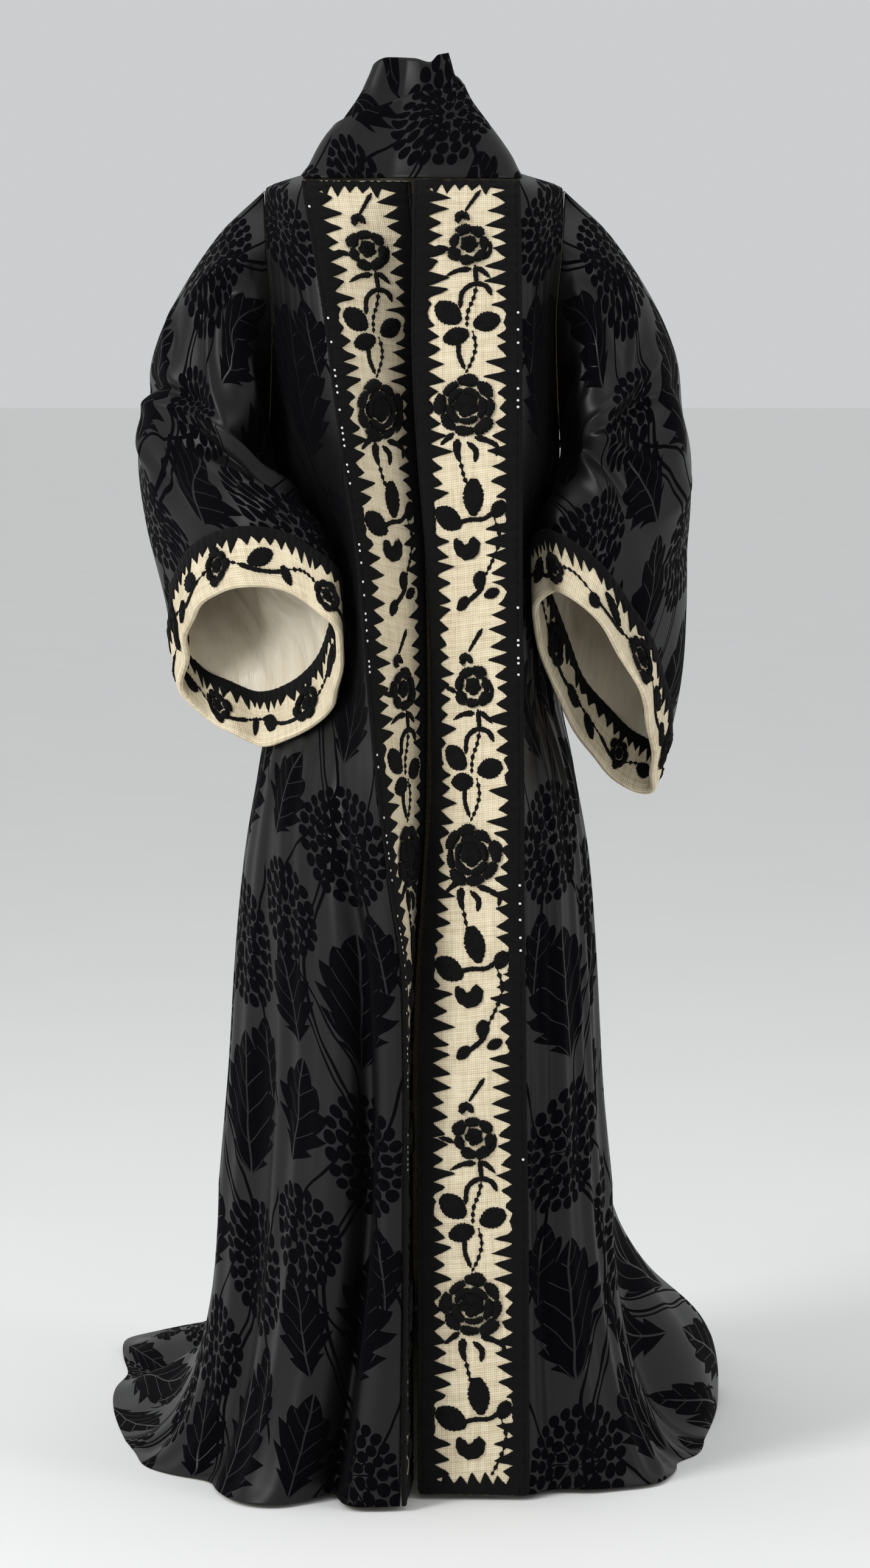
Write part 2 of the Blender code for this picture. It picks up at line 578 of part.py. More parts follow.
def sleeve(side):
    """The sleeve, the lining that shows in it and the cuff that is folded over its mouth."""
    points, normals = sleeve_grid(side)
    sign = -SIGN[side]
    panel(f"sleeve_{side}", points, "velvet", CLOTH, INSIDE, sign, closed=True)
    under = points - (CLOTH + 2 * SEAM) * normals
    panel(f"lining_{side}", under[LINING_ROW:], "satin", LINING, INSIDE, sign, closed=True)
    outer = (points + SEAM * normals)[-3:]
    inner = (points - (CLOTH + LINING + 4 * SEAM + 2 * twist_of(points)) * normals)[-3:]
    onward = points[-1] - points[-2]
    onward *= 0.0030 / np.linalg.norm(onward, axis=-1, keepdims=True)
    roll = [near * outer[-1] + (1 - near) * inner[-1] + onward for near in (0.85, 0.15)]
    folded = np.concatenate([outer, np.stack(roll), inner[::-1]])
    panel(f"cuff_{side}", folded, "canvas", TRIM, OUTSIDE, sign, closed=True)
    rise = TRIM + 1.5 * SEAM
    cuff_border(side, "outer", outer, normals[-3:], rise, sign)
    cuff_border(side, "inner", inner, normals[-3:], -rise, -sign)
    for i in range(len(CUFF_ROSES["angle"])):
        cuff_rose(side, i, outer, normals[-3:])


def band(side):
    """The band down a front's edge with its borders and its roses and leaves."""
    points, normals, lengths = band_grid(side)
    panel(f"band_{side}", points, "canvas", TRIM, OUTSIDE, SIGN[side])
    band_borders(side, points, normals, lengths)
    band_motifs(side, points, normals, lengths)


# Chenille borders and motifs

def border(name, cells, point_at, rise, flip, closed=False):
    """A border with saw teeth. Each cell gives its teeth as root, tip, root along the border."""
    bm = bmesh.new()
    made = {}

    def vert(along, into):
        key = (round(along, 6), round(into, 6))
        if key not in made:
            made[key] = bm.verts.new(point_at(along, into, rise))
        return made[key]

    end = cells[-1][-1][0]
    for cell in cells:
        corners = [vert(0.0 if closed and along == end else along, into) for along, into in cell]
        close = 0.0 if closed and cell[-1][0] == end else cell[-1][0]
        bm.faces.new([vert(cell[0][0], 0.0)] + corners[::2] + [vert(close, 0.0)])
        for i in range(0, len(corners) - 1, 2):
            bm.faces.new([corners[i], corners[i + 1], corners[i + 2]])
    if flip:
        bmesh.ops.reverse_faces(bm, faces=bm.faces)
    bmesh.ops.triangulate(bm, faces=bm.faces)
    finish(name, bm, "chenille", PILE, OUTSIDE)


def toothed_cell(start, end, teeth, root, reach):
    """Corners along the toothed side of one stretch of border."""
    corners = [(start, root)]
    for tooth in range(teeth):
        tip = start + (end - start) * (tooth + 0.5) / teeth
        corners.append((tip, root + reach(tip)))
        corners.append((start + (end - start) * (tooth + 1) / teeth, root))
    return corners


def motif_places(side):
    """Kind, distance down, distance across and size of every motif on a band."""
    for repeat in range(REPEATS):
        for i in range(len(MOTIFS["kind"])):
            across = BAND_WIDTH / 2 - SIGN[side] * MOTIFS["off"][i]
            yield MOTIFS["kind"][i], MOTIFS["down"][i] + repeat * REPEAT, across, MOTIFS["size"][i]


def band_borders(side, points, normals, lengths):
    """Borders down both edges of a band and across its two ends."""
    rise = TRIM + 3 * SEAM
    numbers = np.arange(len(lengths))
    for edge, start, into in (("inner", 0.0, 1.0), ("outer", BAND_WIDTH, -1.0)):
        def point_at(row, distance, height):
            column = np.interp((start + into * distance) / BAND_WIDTH, BAND_COLUMNS, np.arange(6))
            return on_grid(points, normals, row, column, height)

        def reach(row):
            """Teeth stop short of the motifs that cover them."""
            down = np.interp(row, numbers, lengths)
            free = TOOTH_REACH
            for _, place, across, size in motif_places(side):
                half = size + 0.003
                if abs(down - place) < half:
                    chord = math.sqrt(half ** 2 - (down - place) ** 2)
                    free = min(free, abs(across - start) - chord - BORDER_WIDTH)
            return max(free, 0.001)

        cells = []
        for row in range(len(lengths) - 1):
            teeth = max(1, round((lengths[row + 1] - lengths[row]) / TOOTH_PITCH))
            cells.append(toothed_cell(row, row + 1, teeth, BORDER_WIDTH, reach))
        border(f"border_{side}_{edge}", cells, point_at, rise, (into > 0) == (side == "left"))

    for end, row, into in (("neck", 0, 1.0), ("hem", len(lengths) - 1, -1.0)):
        def end_point(column, distance, height):
            away = np.interp(lengths[row] + into * distance, lengths, numbers)
            return on_grid(points, normals, away, column, height)

        def end_reach(column):
            return 0.6 * BORDER_WIDTH

        cells = [toothed_cell(c, c + 1, 1, 0.7 * BORDER_WIDTH, end_reach) for c in (1, 2, 3)]
        border(f"border_{side}_{end}", cells, end_point, rise, (into < 0) == (side == "left"))


def cuff_border(side, face, points, normals, rise, sign):
    """A border round the cuff's free edge, with teeth that point to the mouth."""
    depth = CUFF_WIDTH / 2

    def point_at(column, distance, height):
        return on_grid(points, normals, distance / depth, column, height)

    def reach(column):
        return 0.7 * TOOTH_REACH

    cells = [toothed_cell(c, c + 1, TEETH_PER_CELL, CUFF_BORDER, reach)
             for c in range(SLEEVE_STEPS)]
    border(f"cuff_border_{side}_{face}", cells, point_at, rise, sign < 0, closed=True)


def seat_height(outline, point_at):
    """How high a flat-sided pad must lie to clear the curved cloth under it."""
    middle = point_at(0.0, 0.0, 0.0)
    normal = point_at(0.0, 0.0, 1.0) - middle
    lowest = 0.0
    steps = [(i / 6, j / 6) for i in range(7) for j in range(7 - i)]
    for (a1, b1), (a2, b2) in zip(outline, outline[1:] + outline[:1]):
        first, second = point_at(a1, b1, 0.0) - middle, point_at(a2, b2, 0.0) - middle
        for p, q in steps:
            cloth = point_at(p * a1 + q * a2, p * b1 + q * b2, 0.0) - middle
            lowest = min(lowest, np.dot(p * first + q * second - cloth, normal))
    return 1.5 * SEAM - lowest


def pad(name, outline, point_at, rise, crown_share, flip):
    """A raised pad of chenille: its flat outline on a surface, domed on its outer side."""
    bm = bmesh.new()
    count = len(outline)
    seat = seat_height(outline, point_at)
    under = bm.verts.new(point_at(0.0, 0.0, seat))
    base = [bm.verts.new(point_at(a, b, seat)) for a, b in outline]
    rim = [bm.verts.new(point_at(a, b, seat + 0.45 * rise)) for a, b in outline]
    crown = [bm.verts.new(point_at(a * crown_share, b * crown_share, seat + rise))
             for a, b in outline]
    for i in range(count):
        j = (i + 1) % count
        bm.faces.new([under, base[j], base[i]])
        bm.faces.new([base[i], base[j], rim[j], rim[i]])
        bm.faces.new([rim[i], rim[j], crown[j], crown[i]])
    bm.faces.new(crown)
    if flip:
        bmesh.ops.reverse_faces(bm, faces=bm.faces)
    bmesh.ops.triangulate(bm, faces=bm.faces)
    finish(name, bm, "chenille", 0.0, 0.0)


def rose_outline(size):
    """A round flower with four lobes."""
    turns = [2 * math.pi * i / 12 for i in range(12)]
    reach = [size * (0.95 + 0.05 * math.cos(4 * a)) for a in turns]
    return [(r * math.cos(a), r * math.sin(a)) for r, a in zip(reach, turns)]


def trefoil_outline(size):
    """Three pointed leaves that meet at their stalks."""
    outline = []
    for leaf in range(3):
        middle = 2 * math.pi * leaf / 3 + math.pi / 6
        for turn, reach in ((-60, 0.26), (-26, 0.72), (0, 1.0), (26, 0.72)):
            angle = middle + math.radians(turn)
            outline.append((size * reach * math.cos(angle), size * reach * math.sin(angle)))
    return outline


def band_motifs(side, points, normals, lengths):
    numbers = np.arange(len(lengths))
    made = {ROSE: 0, TREFOIL: 0}
    for kind, down, across, size in motif_places(side):
        made[kind] += 1

        def point_at(a, b, height):
            column = np.interp((across + a) / BAND_WIDTH, BAND_COLUMNS, np.arange(6))
            row = np.interp(down + b, lengths, numbers)
            return on_grid(points, normals, row, column, TRIM + height, slack=0.0)

        name = "rose" if kind == ROSE else "leaves"
        shape = rose_outline(size) if kind == ROSE else trefoil_outline(size)
        rise = ROSE_RISE if kind == ROSE else LEAF_RISE
        pad(f"{name}_{side}_{made[kind]}", shape, point_at, rise, 0.58, side == "left")


def cuff_rose(side, number, points, normals):
    middle = CUFF_ROSES["angle"][number] / 360 * SLEEVE_STEPS
    ring = points[1]
    girth = np.linalg.norm(np.diff(ring, axis=0), axis=1).sum() / SLEEVE_STEPS

    def point_at(a, b, height):
        row = (CUFF_WIDTH - CUFF_ROSES["down"][number] + b) / (CUFF_WIDTH / 2)
        return on_grid(points, normals, row, middle + a / girth, TRIM + PILE + SEAM / 2 + height)

    outline = rose_outline(CUFF_ROSES["size"][number])
    pad(f"cuff_rose_{side}_{number + 1}", outline, point_at, ROSE_RISE, 0.58, side == "right")


# Collar

def neckline():
    """The neck edge of the panels as angle, radius and height, going round from the front."""
    across = np.linspace(0, 2, 60)
    behind = back_point(np.linspace(0, 1, 80), 0.0)
    sides = [front_point(side, across, 0.0) for side in ("right", "left")]
    ring = np.concatenate([sides[0], behind, sides[1]])
    angle = np.degrees(np.arctan2(ring[:, 0], -ring[:, 1]))
    order = np.argsort(angle)
    even = np.arange(-180.0, 180.0)
    radius = np.interp(even, angle[order], np.hypot(ring[:, 0], ring[:, 1])[order], period=360)
    height = np.interp(even, angle[order], ring[order, 2], period=360)
    smooth = sum(np.roll(radius, k) for k in range(-12, 13)) / 25
    return even, smooth, height


def collar():
    """A strip wound round the neck, leaning in, its end wrapped over its start at the front."""
    angles, radii, heights = neckline()
    sweep = np.linspace(0, COLLAR_SWEEP, COLLAR_STEPS + 1)
    turn = np.mod(COLLAR_START - sweep + 180, 360) - 180
    base = np.interp(turn, angles, radii, period=360)
    foot = np.interp(turn, angles, heights, period=360) + 3.5 * SEAM
    top = smooth_track(COLLAR_EDGE["sweep"], COLLAR_EDGE["top"], sweep)
    rows = []
    for share in np.linspace(0, 1, COLLAR_ROWS + 1):
        z = foot + (top - foot) * share
        lean = smooth_track(CONE["height"], CONE["share"], np.maximum(z, 0))
        radius = base * lean + COLLAR_LAYER * sweep / 360
        x = radius * np.sin(np.radians(turn))
        rows.append(np.stack([x, -radius * np.cos(np.radians(turn)), z], axis=-1))
    panel("collar", np.stack(rows), "velvet", CLOTH, INSIDE, 1.0)


def main():
    for old in list(bpy.data.objects):
        bpy.data.objects.remove(old)
    back()
    for side in SIGN:
        front(side)
        sleeve(side)
        band(side)
    collar()


main()
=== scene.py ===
import math

import bmesh
import bpy
import numpy as np
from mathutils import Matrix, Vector


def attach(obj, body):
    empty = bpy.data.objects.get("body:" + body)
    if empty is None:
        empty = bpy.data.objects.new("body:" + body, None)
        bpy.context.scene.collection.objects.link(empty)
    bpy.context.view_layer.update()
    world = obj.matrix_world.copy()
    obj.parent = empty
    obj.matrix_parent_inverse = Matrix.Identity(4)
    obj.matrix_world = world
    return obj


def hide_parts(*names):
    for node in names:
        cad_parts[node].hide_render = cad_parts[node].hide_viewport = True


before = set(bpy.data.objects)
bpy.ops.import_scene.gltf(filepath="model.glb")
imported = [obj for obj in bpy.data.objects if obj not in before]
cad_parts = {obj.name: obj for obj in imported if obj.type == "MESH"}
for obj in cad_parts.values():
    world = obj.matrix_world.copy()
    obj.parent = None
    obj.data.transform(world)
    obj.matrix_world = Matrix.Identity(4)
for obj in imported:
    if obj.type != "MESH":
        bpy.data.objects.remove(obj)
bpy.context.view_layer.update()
print("frame loaded:", len(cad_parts), "nodes")


# small tools for tables and curves

def columns(names, *rows):
    return {name: np.array([row[i] for row in rows]) for i, name in enumerate(names.split())}


def tableRows(table):
    return [dict(zip(table, row)) for row in zip(*table.values())]


def hermite(s, step, start, lead, end, trail):
    return ((1 + 2 * s) * (1 - s) ** 2 * start + s * (1 - s) ** 2 * step * lead
            + s * s * (3 - 2 * s) * end + s * s * (s - 1) * step * trail)


def smoothTrack(knots, values, at):     # shape-keeping cubic through a column
    step = np.diff(knots)
    slope = np.diff(values) / step
    tangent = np.concatenate([slope[:1], np.zeros(len(slope) - 1), slope[-1:]])
    same = slope[:-1] * slope[1:] > 0
    tangent[1:-1][same] = 2 * (slope[:-1] * slope[1:])[same] / (slope[:-1] + slope[1:])[same]
    at = np.asarray(at, float)
    i = np.clip(np.searchsorted(knots, at, side="right") - 1, 0, len(step) - 1)
    s = np.clip((at - knots[i]) / step[i], 0, 1)
    return hermite(s, step[i], values[i], tangent[i], values[i + 1], tangent[i + 1])


def ease(x):
    x = np.clip(x, 0, 1)
    return x * x * (3 - 2 * x)


def steps(points, axis):     # lengths from each point to the next
    return np.linalg.norm(np.diff(points, axis=axis), axis=-1)


def unit(vectors, least=1e-12):
    return vectors / np.maximum(np.linalg.norm(vectors, axis=-1, keepdims=True), least)


def bezier(t, start, lead, trail, end):
    r = 1 - t
    return r ** 3 * start + 3 * r * r * t * lead + 3 * r * t * t * trail + t ** 3 * end


# the cut of the coat, in metres

cut = {
    "floor": -1.340,
    "skirtDrop": 1.060,     # below this the cloth flows out into the hem and train
    "shoulderDrop": 0.022,
    "underarmDrop": 0.280,
    "cloth": 0.0015,
    "lining": 0.0012,
    "canvas": 0.0015,
    "seam": 0.0003,
    "hemClear": 0.004,
    "bandWidth": 0.108,
}
skirtShare = cut["skirtDrop"] / -cut["floor"]
sign = {"left": 1.0, "right": -1.0}

sectionNames = "drop bandX bandY face curl turn lead sideX sideY arrive trail lift"
fronts = {
    "left": columns(
        sectionNames,
        (0.000, 0.107, -0.076, 14, 2, 60, 0.018, 0.106, 0.000, 90, 0.030, 0.010),
        (0.022, 0.107, -0.093, 13, 4, 40, 0.020, 0.157, 0.000, 90, 0.024, 0.012),
        (0.080, 0.108, -0.117, 10, 9, 30, 0.020, 0.153, -0.056, 55, 0.020, 0.004),
        (0.150, 0.108, -0.142, 7, 16, 30, 0.020, 0.147, -0.068, 60, 0.020, 0.000),
        (0.220, 0.108, -0.166, 1, 24, 45, 0.030, 0.149, -0.052, 70, 0.030, 0.000),
        (0.280, 0.108, -0.181, -3, 31, 65, 0.060, 0.153, 0.000, 90, 0.050, 0.000),
        (0.390, 0.108, -0.196, -8, 42, 98, 0.120, 0.152, 0.000, 90, 0.060, 0.000),
        (0.517, 0.109, -0.203, -10, 46, 96, 0.120, 0.152, 0.000, 90, 0.060, 0.000),
        (0.614, 0.110, -0.207, -10, 46, 70, 0.090, 0.168, 0.000, 90, 0.090, 0.000),
        (0.711, 0.110, -0.210, -7, 42, 40, 0.060, 0.184, 0.000, 90, 0.110, 0.000),
        (0.815, 0.111, -0.213, -2, 34, 25, 0.050, 0.192, 0.000, 90, 0.115, 0.000),
        (0.930, 0.112, -0.217, 0, 22, 18, 0.050, 0.198, 0.000, 90, 0.120, 0.000),
        (1.060, 0.114, -0.224, 0, 12, 14, 0.050, 0.210, 0.000, 90, 0.125, 0.000),
        (1.340, 0.115, -0.238, 0, 6, 8, 0.105, 0.309, 0.010, 86, 0.150, 0.000),
    ),
    "right": columns(
        sectionNames,
        (0.000, -0.114, -0.087, 0, 4, 75, 0.012, -0.108, 0.000, 90, 0.030, 0.010),
        (0.022, -0.111, -0.100, -5, 6, 40, 0.018, -0.157, 0.000, 90, 0.024, 0.012),
        (0.080, -0.101, -0.122, -15, 10, 25, 0.020, -0.153, -0.056, 55, 0.020, 0.004),
        (0.150, -0.090, -0.145, -26, 15, 25, 0.025, -0.147, -0.068, 60, 0.020, 0.000),
        (0.220, -0.081, -0.172, -32, 18, 40, 0.035, -0.149, -0.052, 70, 0.030, 0.000),
        (0.280, -0.073, -0.188, -37, 20, 65, 0.070, -0.153, 0.000, 90, 0.050, 0.000),
        (0.390, -0.057, -0.206, -43, 20, 84, 0.140, -0.152, 0.000, 90, 0.060, 0.000),
        (0.517, -0.047, -0.216, -48, 20, 84, 0.140, -0.150, 0.000, 90, 0.060, 0.000),
        (0.614, -0.038, -0.221, -54, 20, 62, 0.100, -0.164, 0.000, 90, 0.090, 0.000),
        (0.711, -0.026, -0.226, -64, 18, 25, 0.060, -0.180, 0.000, 90, 0.110, 0.000),
        (0.815, -0.012, -0.231, -80, 9, -5, 0.050, -0.190, 0.000, 90, 0.120, 0.000),
        (0.930, -0.010, -0.237, -86, 3, -10, 0.050, -0.197, 0.000, 90, 0.125, 0.000),
        (1.060, -0.010, -0.246, -86, 3, -12, 0.060, -0.208, 0.000, 90, 0.130, 0.000),
        (1.340, -0.012, -0.283, -84, 4, -14, 0.130, -0.309, 0.010, 76, 0.200, 0.000),
    ),
}
backSections = columns(
    "drop sideY leave lead backY spread lift",
    (0.000, 0.000, 90, 0.040, 0.086, 0.070, 0.022),
    (0.022, 0.000, 90, 0.024, 0.104, 0.100, 0.018),
    (0.080, 0.052, 62, 0.030, 0.120, 0.090, 0.004),
    (0.150, 0.062, 65, 0.030, 0.130, 0.090, 0.000),
    (0.220, 0.048, 72, 0.040, 0.136, 0.095, 0.000),
    (0.280, 0.000, 90, 0.060, 0.139, 0.095, 0.000),
    (0.390, 0.000, 90, 0.080, 0.142, 0.095, 0.000),
    (0.517, 0.000, 90, 0.085, 0.148, 0.095, 0.000),
    (0.614, 0.000, 90, 0.090, 0.158, 0.100, 0.000),
    (0.711, 0.000, 90, 0.095, 0.174, 0.100, 0.000),
    (0.815, 0.000, 90, 0.105, 0.197, 0.105, 0.000),
    (0.930, 0.000, 90, 0.120, 0.228, 0.110, 0.000),
    (1.060, 0.000, 90, 0.140, 0.272, 0.120, 0.000),
    (1.340, 0.010, 101, 0.400, 0.680, 0.350, 0.000),
)
foldNames = "at width depth start"
skirtFolds = {
    "left": columns(foldNames, (0.12, 0.08, -0.016, 0.42), (0.46, 0.12, 0.014, 0.40),
                    (0.74, 0.08, -0.012, 0.55)),
    "right": columns(foldNames, (0.23, 0.06, -0.052, 0.45), (0.40, 0.11, 0.020, 0.42),
                     (0.62, 0.07, -0.016, 0.50), (0.80, 0.08, 0.010, 0.50)),
    "back": columns(foldNames, (0.14, 0.040, -0.016, 0.40), (0.24, 0.045, 0.016, 0.35),
                    (0.36, 0.040, -0.018, 0.30), (0.50, 0.060, 0.020, 0.20),
                    (0.64, 0.040, -0.018, 0.30), (0.76, 0.045, 0.016, 0.35),
                    (0.86, 0.040, -0.016, 0.40)),
}
trainRidges = columns("at width rise", (0.10, 0.030, 0.020), (0.22, 0.035, 0.026),
                      (0.37, 0.030, 0.018), (0.52, 0.035, 0.022), (0.66, 0.030, 0.018),
                      (0.80, 0.035, 0.026), (0.91, 0.030, 0.020))


# body surfaces

def sectionAt(sections, drop):
    return {n: smoothTrack(sections["drop"][:-1], sections[n][:-1], drop)
            for n in sections if n != "drop"}


def hemOf(sections):
    return {name: column[-1] for name, column in sections.items()}


def foldDepth(name, at, v):
    depth = np.zeros(np.broadcast(at, v).shape)
    for fold in tableRows(skirtFolds[name]):
        grow = np.clip((v - fold["start"]) / (1 - fold["start"]), 0, 1)
        depth = depth + fold["depth"] * grow * np.exp(-((at - fold["at"]) / fold["width"]) ** 2)
    return depth


def frontOutline(side, u, row):     # u: 0 to 1 across the band, then to 2 at the side seam
    s = sign[side]
    width = cut["bandWidth"]
    face, curl = np.radians(row["face"]), np.radians(row["curl"])
    inward = face - curl * np.clip(1 - u, 0, 1)
    bandX = row["bandX"] - s * width * (np.sin(face) - np.sin(inward)) / curl
    bandY = row["bandY"] - width * (np.cos(inward) - np.cos(face)) / curl
    turn, arrive = np.radians(row["turn"]), np.radians(row["arrive"])
    t = np.clip(u - 1, 0, 1)
    sideY = row["sideY"] - cut["seam"]
    x = bezier(t, row["bandX"], row["bandX"] + s * row["lead"] * np.cos(turn),
               row["sideX"] - s * row["trail"] * np.cos(arrive), row["sideX"])
    y = bezier(t, row["bandY"], row["bandY"] + row["lead"] * np.sin(turn),
               sideY - row["trail"] * np.sin(arrive), sideY)
    return np.where(u <= 1, bandX, x), np.where(u <= 1, bandY, y)


def foldedOutline(outline, name, at, u, v, row, turned, quiet):     # quiet: no folds at the seams
    nudge = 1e-3
    x, y = outline(u, row)
    x2, y2 = outline(u + nudge, row)
    x1, y1 = outline(u - nudge, row)
    length = np.maximum(np.hypot(x2 - x1, y2 - y1), 1e-9)
    depth = foldDepth(name, at, v)
    depth = turned * quiet * depth
    return x + depth * (y2 - y1) / length, y - depth * (x2 - x1) / length


def flowToHem(v, upper, hem, topZ, hemZ, settle, spring=0.0):
    w = np.clip((v - skirtShare) / (1 - skirtShare), 0, 1)
    out = bezier(w, 0.0, 0.02 + 0.25 * (1 - settle) + 0.08 * spring,
                 0.34 + 0.30 * (1 - settle) + 0.71 * spring, 1.0)
    fall = hemZ - topZ
    z = bezier(w, topZ, topZ + (0.33 + 0.27 * settle - 0.20 * spring) * fall,
               topZ + (0.67 + 0.33 * settle - 0.30 * spring) * fall, hemZ)
    return upper[0] + (hem[0] - upper[0]) * out, upper[1] + (hem[1] - upper[1]) * out, z, w


def frontPoint(side, u, v):
    u, v = np.broadcast_arrays(np.asarray(u, float), np.asarray(v, float))
    row = sectionAt(fronts[side], np.minimum(v / skirtShare, 1) * cut["skirtDrop"])
    at = u - 1
    quiet = ease(at / 0.06) * ease((1 - at) / 0.06)

    def outline(where, values):
        return frontOutline(side, where, values)

    def folded(values, level):
        return foldedOutline(outline, side, at, u, level, values, sign[side], quiet)

    upper = folded(row, np.minimum(v, skirtShare))
    hem = folded(hemOf(fronts[side]), np.ones_like(v))
    topZ = -np.minimum(v / skirtShare, 1) * cut["skirtDrop"] + row["lift"] * ease(at)
    hemZ = cut["floor"] + cut["cloth"] + cut["hemClear"] * (1 - ease(at))
    x, y, z, _ = flowToHem(v, upper, hem, topZ, hemZ, ease(at))
    return np.stack([x, y, z], axis=-1)


def backOutline(u, row, sides):
    s = np.where(u < 0.5, -1.0, 1.0)
    t = np.clip(1 - 2 * np.abs(u - 0.5), 0, 1)
    sideX = np.where(u < 0.5, sides[0], sides[1])
    leave = np.radians(row["leave"])
    sideY = row["sideY"] + cut["seam"]
    x = bezier(t, sideX, sideX - s * row["lead"] * np.cos(leave), s * row["spread"], 0.0)
    y = bezier(t, sideY, sideY + row["lead"] * np.sin(leave), row["backY"], row["backY"])
    return x, y


def backPoint(u, v):
    u, v = np.broadcast_arrays(np.asarray(u, float), np.asarray(v, float))
    drop = np.minimum(v / skirtShare, 1) * cut["skirtDrop"]
    row = sectionAt(backSections, drop)
    sides = [sectionAt(fronts[side], drop) for side in ("right", "left")]
    hems = [hemOf(fronts[side]) for side in ("right", "left")]
    quiet = ease(u / 0.05) * ease((1 - u) / 0.05)

    def folded(values, ends, level):
        def outline(where, given):
            return backOutline(where, given, ends)
        return foldedOutline(outline, "back", u, u, level, values, -1.0, quiet)

    upper = folded(row, [f["sideX"] for f in sides], np.minimum(v, skirtShare))
    hem = folded(hemOf(backSections), [h["sideX"] for h in hems], np.ones_like(v))
    centre = ease(1 - 2 * np.abs(u - 0.5))
    topZ = -drop + sides[0]["lift"] * (1 - centre) + row["lift"] * centre
    spring = ease((1 - u) / 0.05) * (1 - ease((1 - u - 0.12) / 0.16))
    x, y, z, w = flowToHem(v, upper, hem, topZ, cut["floor"] + cut["cloth"], 1.0, spring)
    grow = quiet * ease((w - 0.35) / 0.4) * (1 - 0.8 * ease((w - 0.8) / 0.2))
    for ridge in tableRows(trainRidges):
        z = z + ridge["rise"] * np.exp(-((u - ridge["at"]) / ridge["width"]) ** 2) * grow
    return np.stack([x, y, z], axis=-1)


# sleeve surfaces

ringNames = "share x y z outX outY outZ foreX foreY foreZ"
upperRings = (
    (0.17, 0.181, 0.000, -0.163, 0.029, 0.000, 0.101, -0.004, -0.098, 0.000),
    (0.36, 0.2015, 0.002, -0.223, 0.0655, 0.004, 0.065, -0.014, -0.112, 0.012),
    (0.54, 0.213, -0.005, -0.290, 0.080, 0.030, 0.030, -0.012, -0.116, 0.030),
)
sleeveRings = {
    "left": columns(
        ringNames, *upperRings,
        (0.72, 0.206, -0.035, -0.375, 0.082, 0.052, -0.030, 0.010, -0.094, 0.050),
        (0.86, 0.197, -0.072, -0.445, 0.080, 0.052, -0.088, 0.020, -0.074, 0.050),
        (1.00, 0.187, -0.098, -0.527, 0.061, 0.045, -0.101, 0.028, -0.052, 0.040),
    ),
    "right": columns(
        ringNames, *upperRings,
        (0.72, 0.192, -0.040, -0.362, 0.092, 0.062, 0.000, 0.006, -0.096, 0.052),
        (0.86, 0.166, -0.084, -0.425, 0.094, 0.062, -0.014, 0.012, -0.068, 0.072),
        (1.00, 0.156, -0.106, -0.500, 0.088, 0.064, -0.012, 0.018, -0.046, 0.086),
    ),
}
sleeveStyle = {
    "columns": 241, "rows": 170, "liningRow": 112,
    "cuffWidth": 0.056, "cuffRows": 26, "cuffRoll": 0.0030,
    "girth": 0.090, "length": 0.62,     # rough radius and length that turn angle and share to metres
    "bodyMargin": 0.006, "ruffle": 0.0032, "rumple": 0.0022,
    "waves": {"left": (3, 0.5, 0.004), "right": (4, 1.1, 0.006)},
}
sleeveFolds = columns(
    "angle share spread length depth",
    (60, 0.30, 18, 0.22, -0.010),
    (95, 0.42, 16, 0.20, 0.010),
    (125, 0.52, 16, 0.18, -0.010),
    (40, 0.55, 16, 0.14, 0.009),
    (80, 0.62, 20, 0.07, -0.012),
    (0, 0.50, 26, 0.06, -0.008),
    (-60, 0.45, 20, 0.25, 0.010),
    (-110, 0.55, 20, 0.25, -0.010),
)
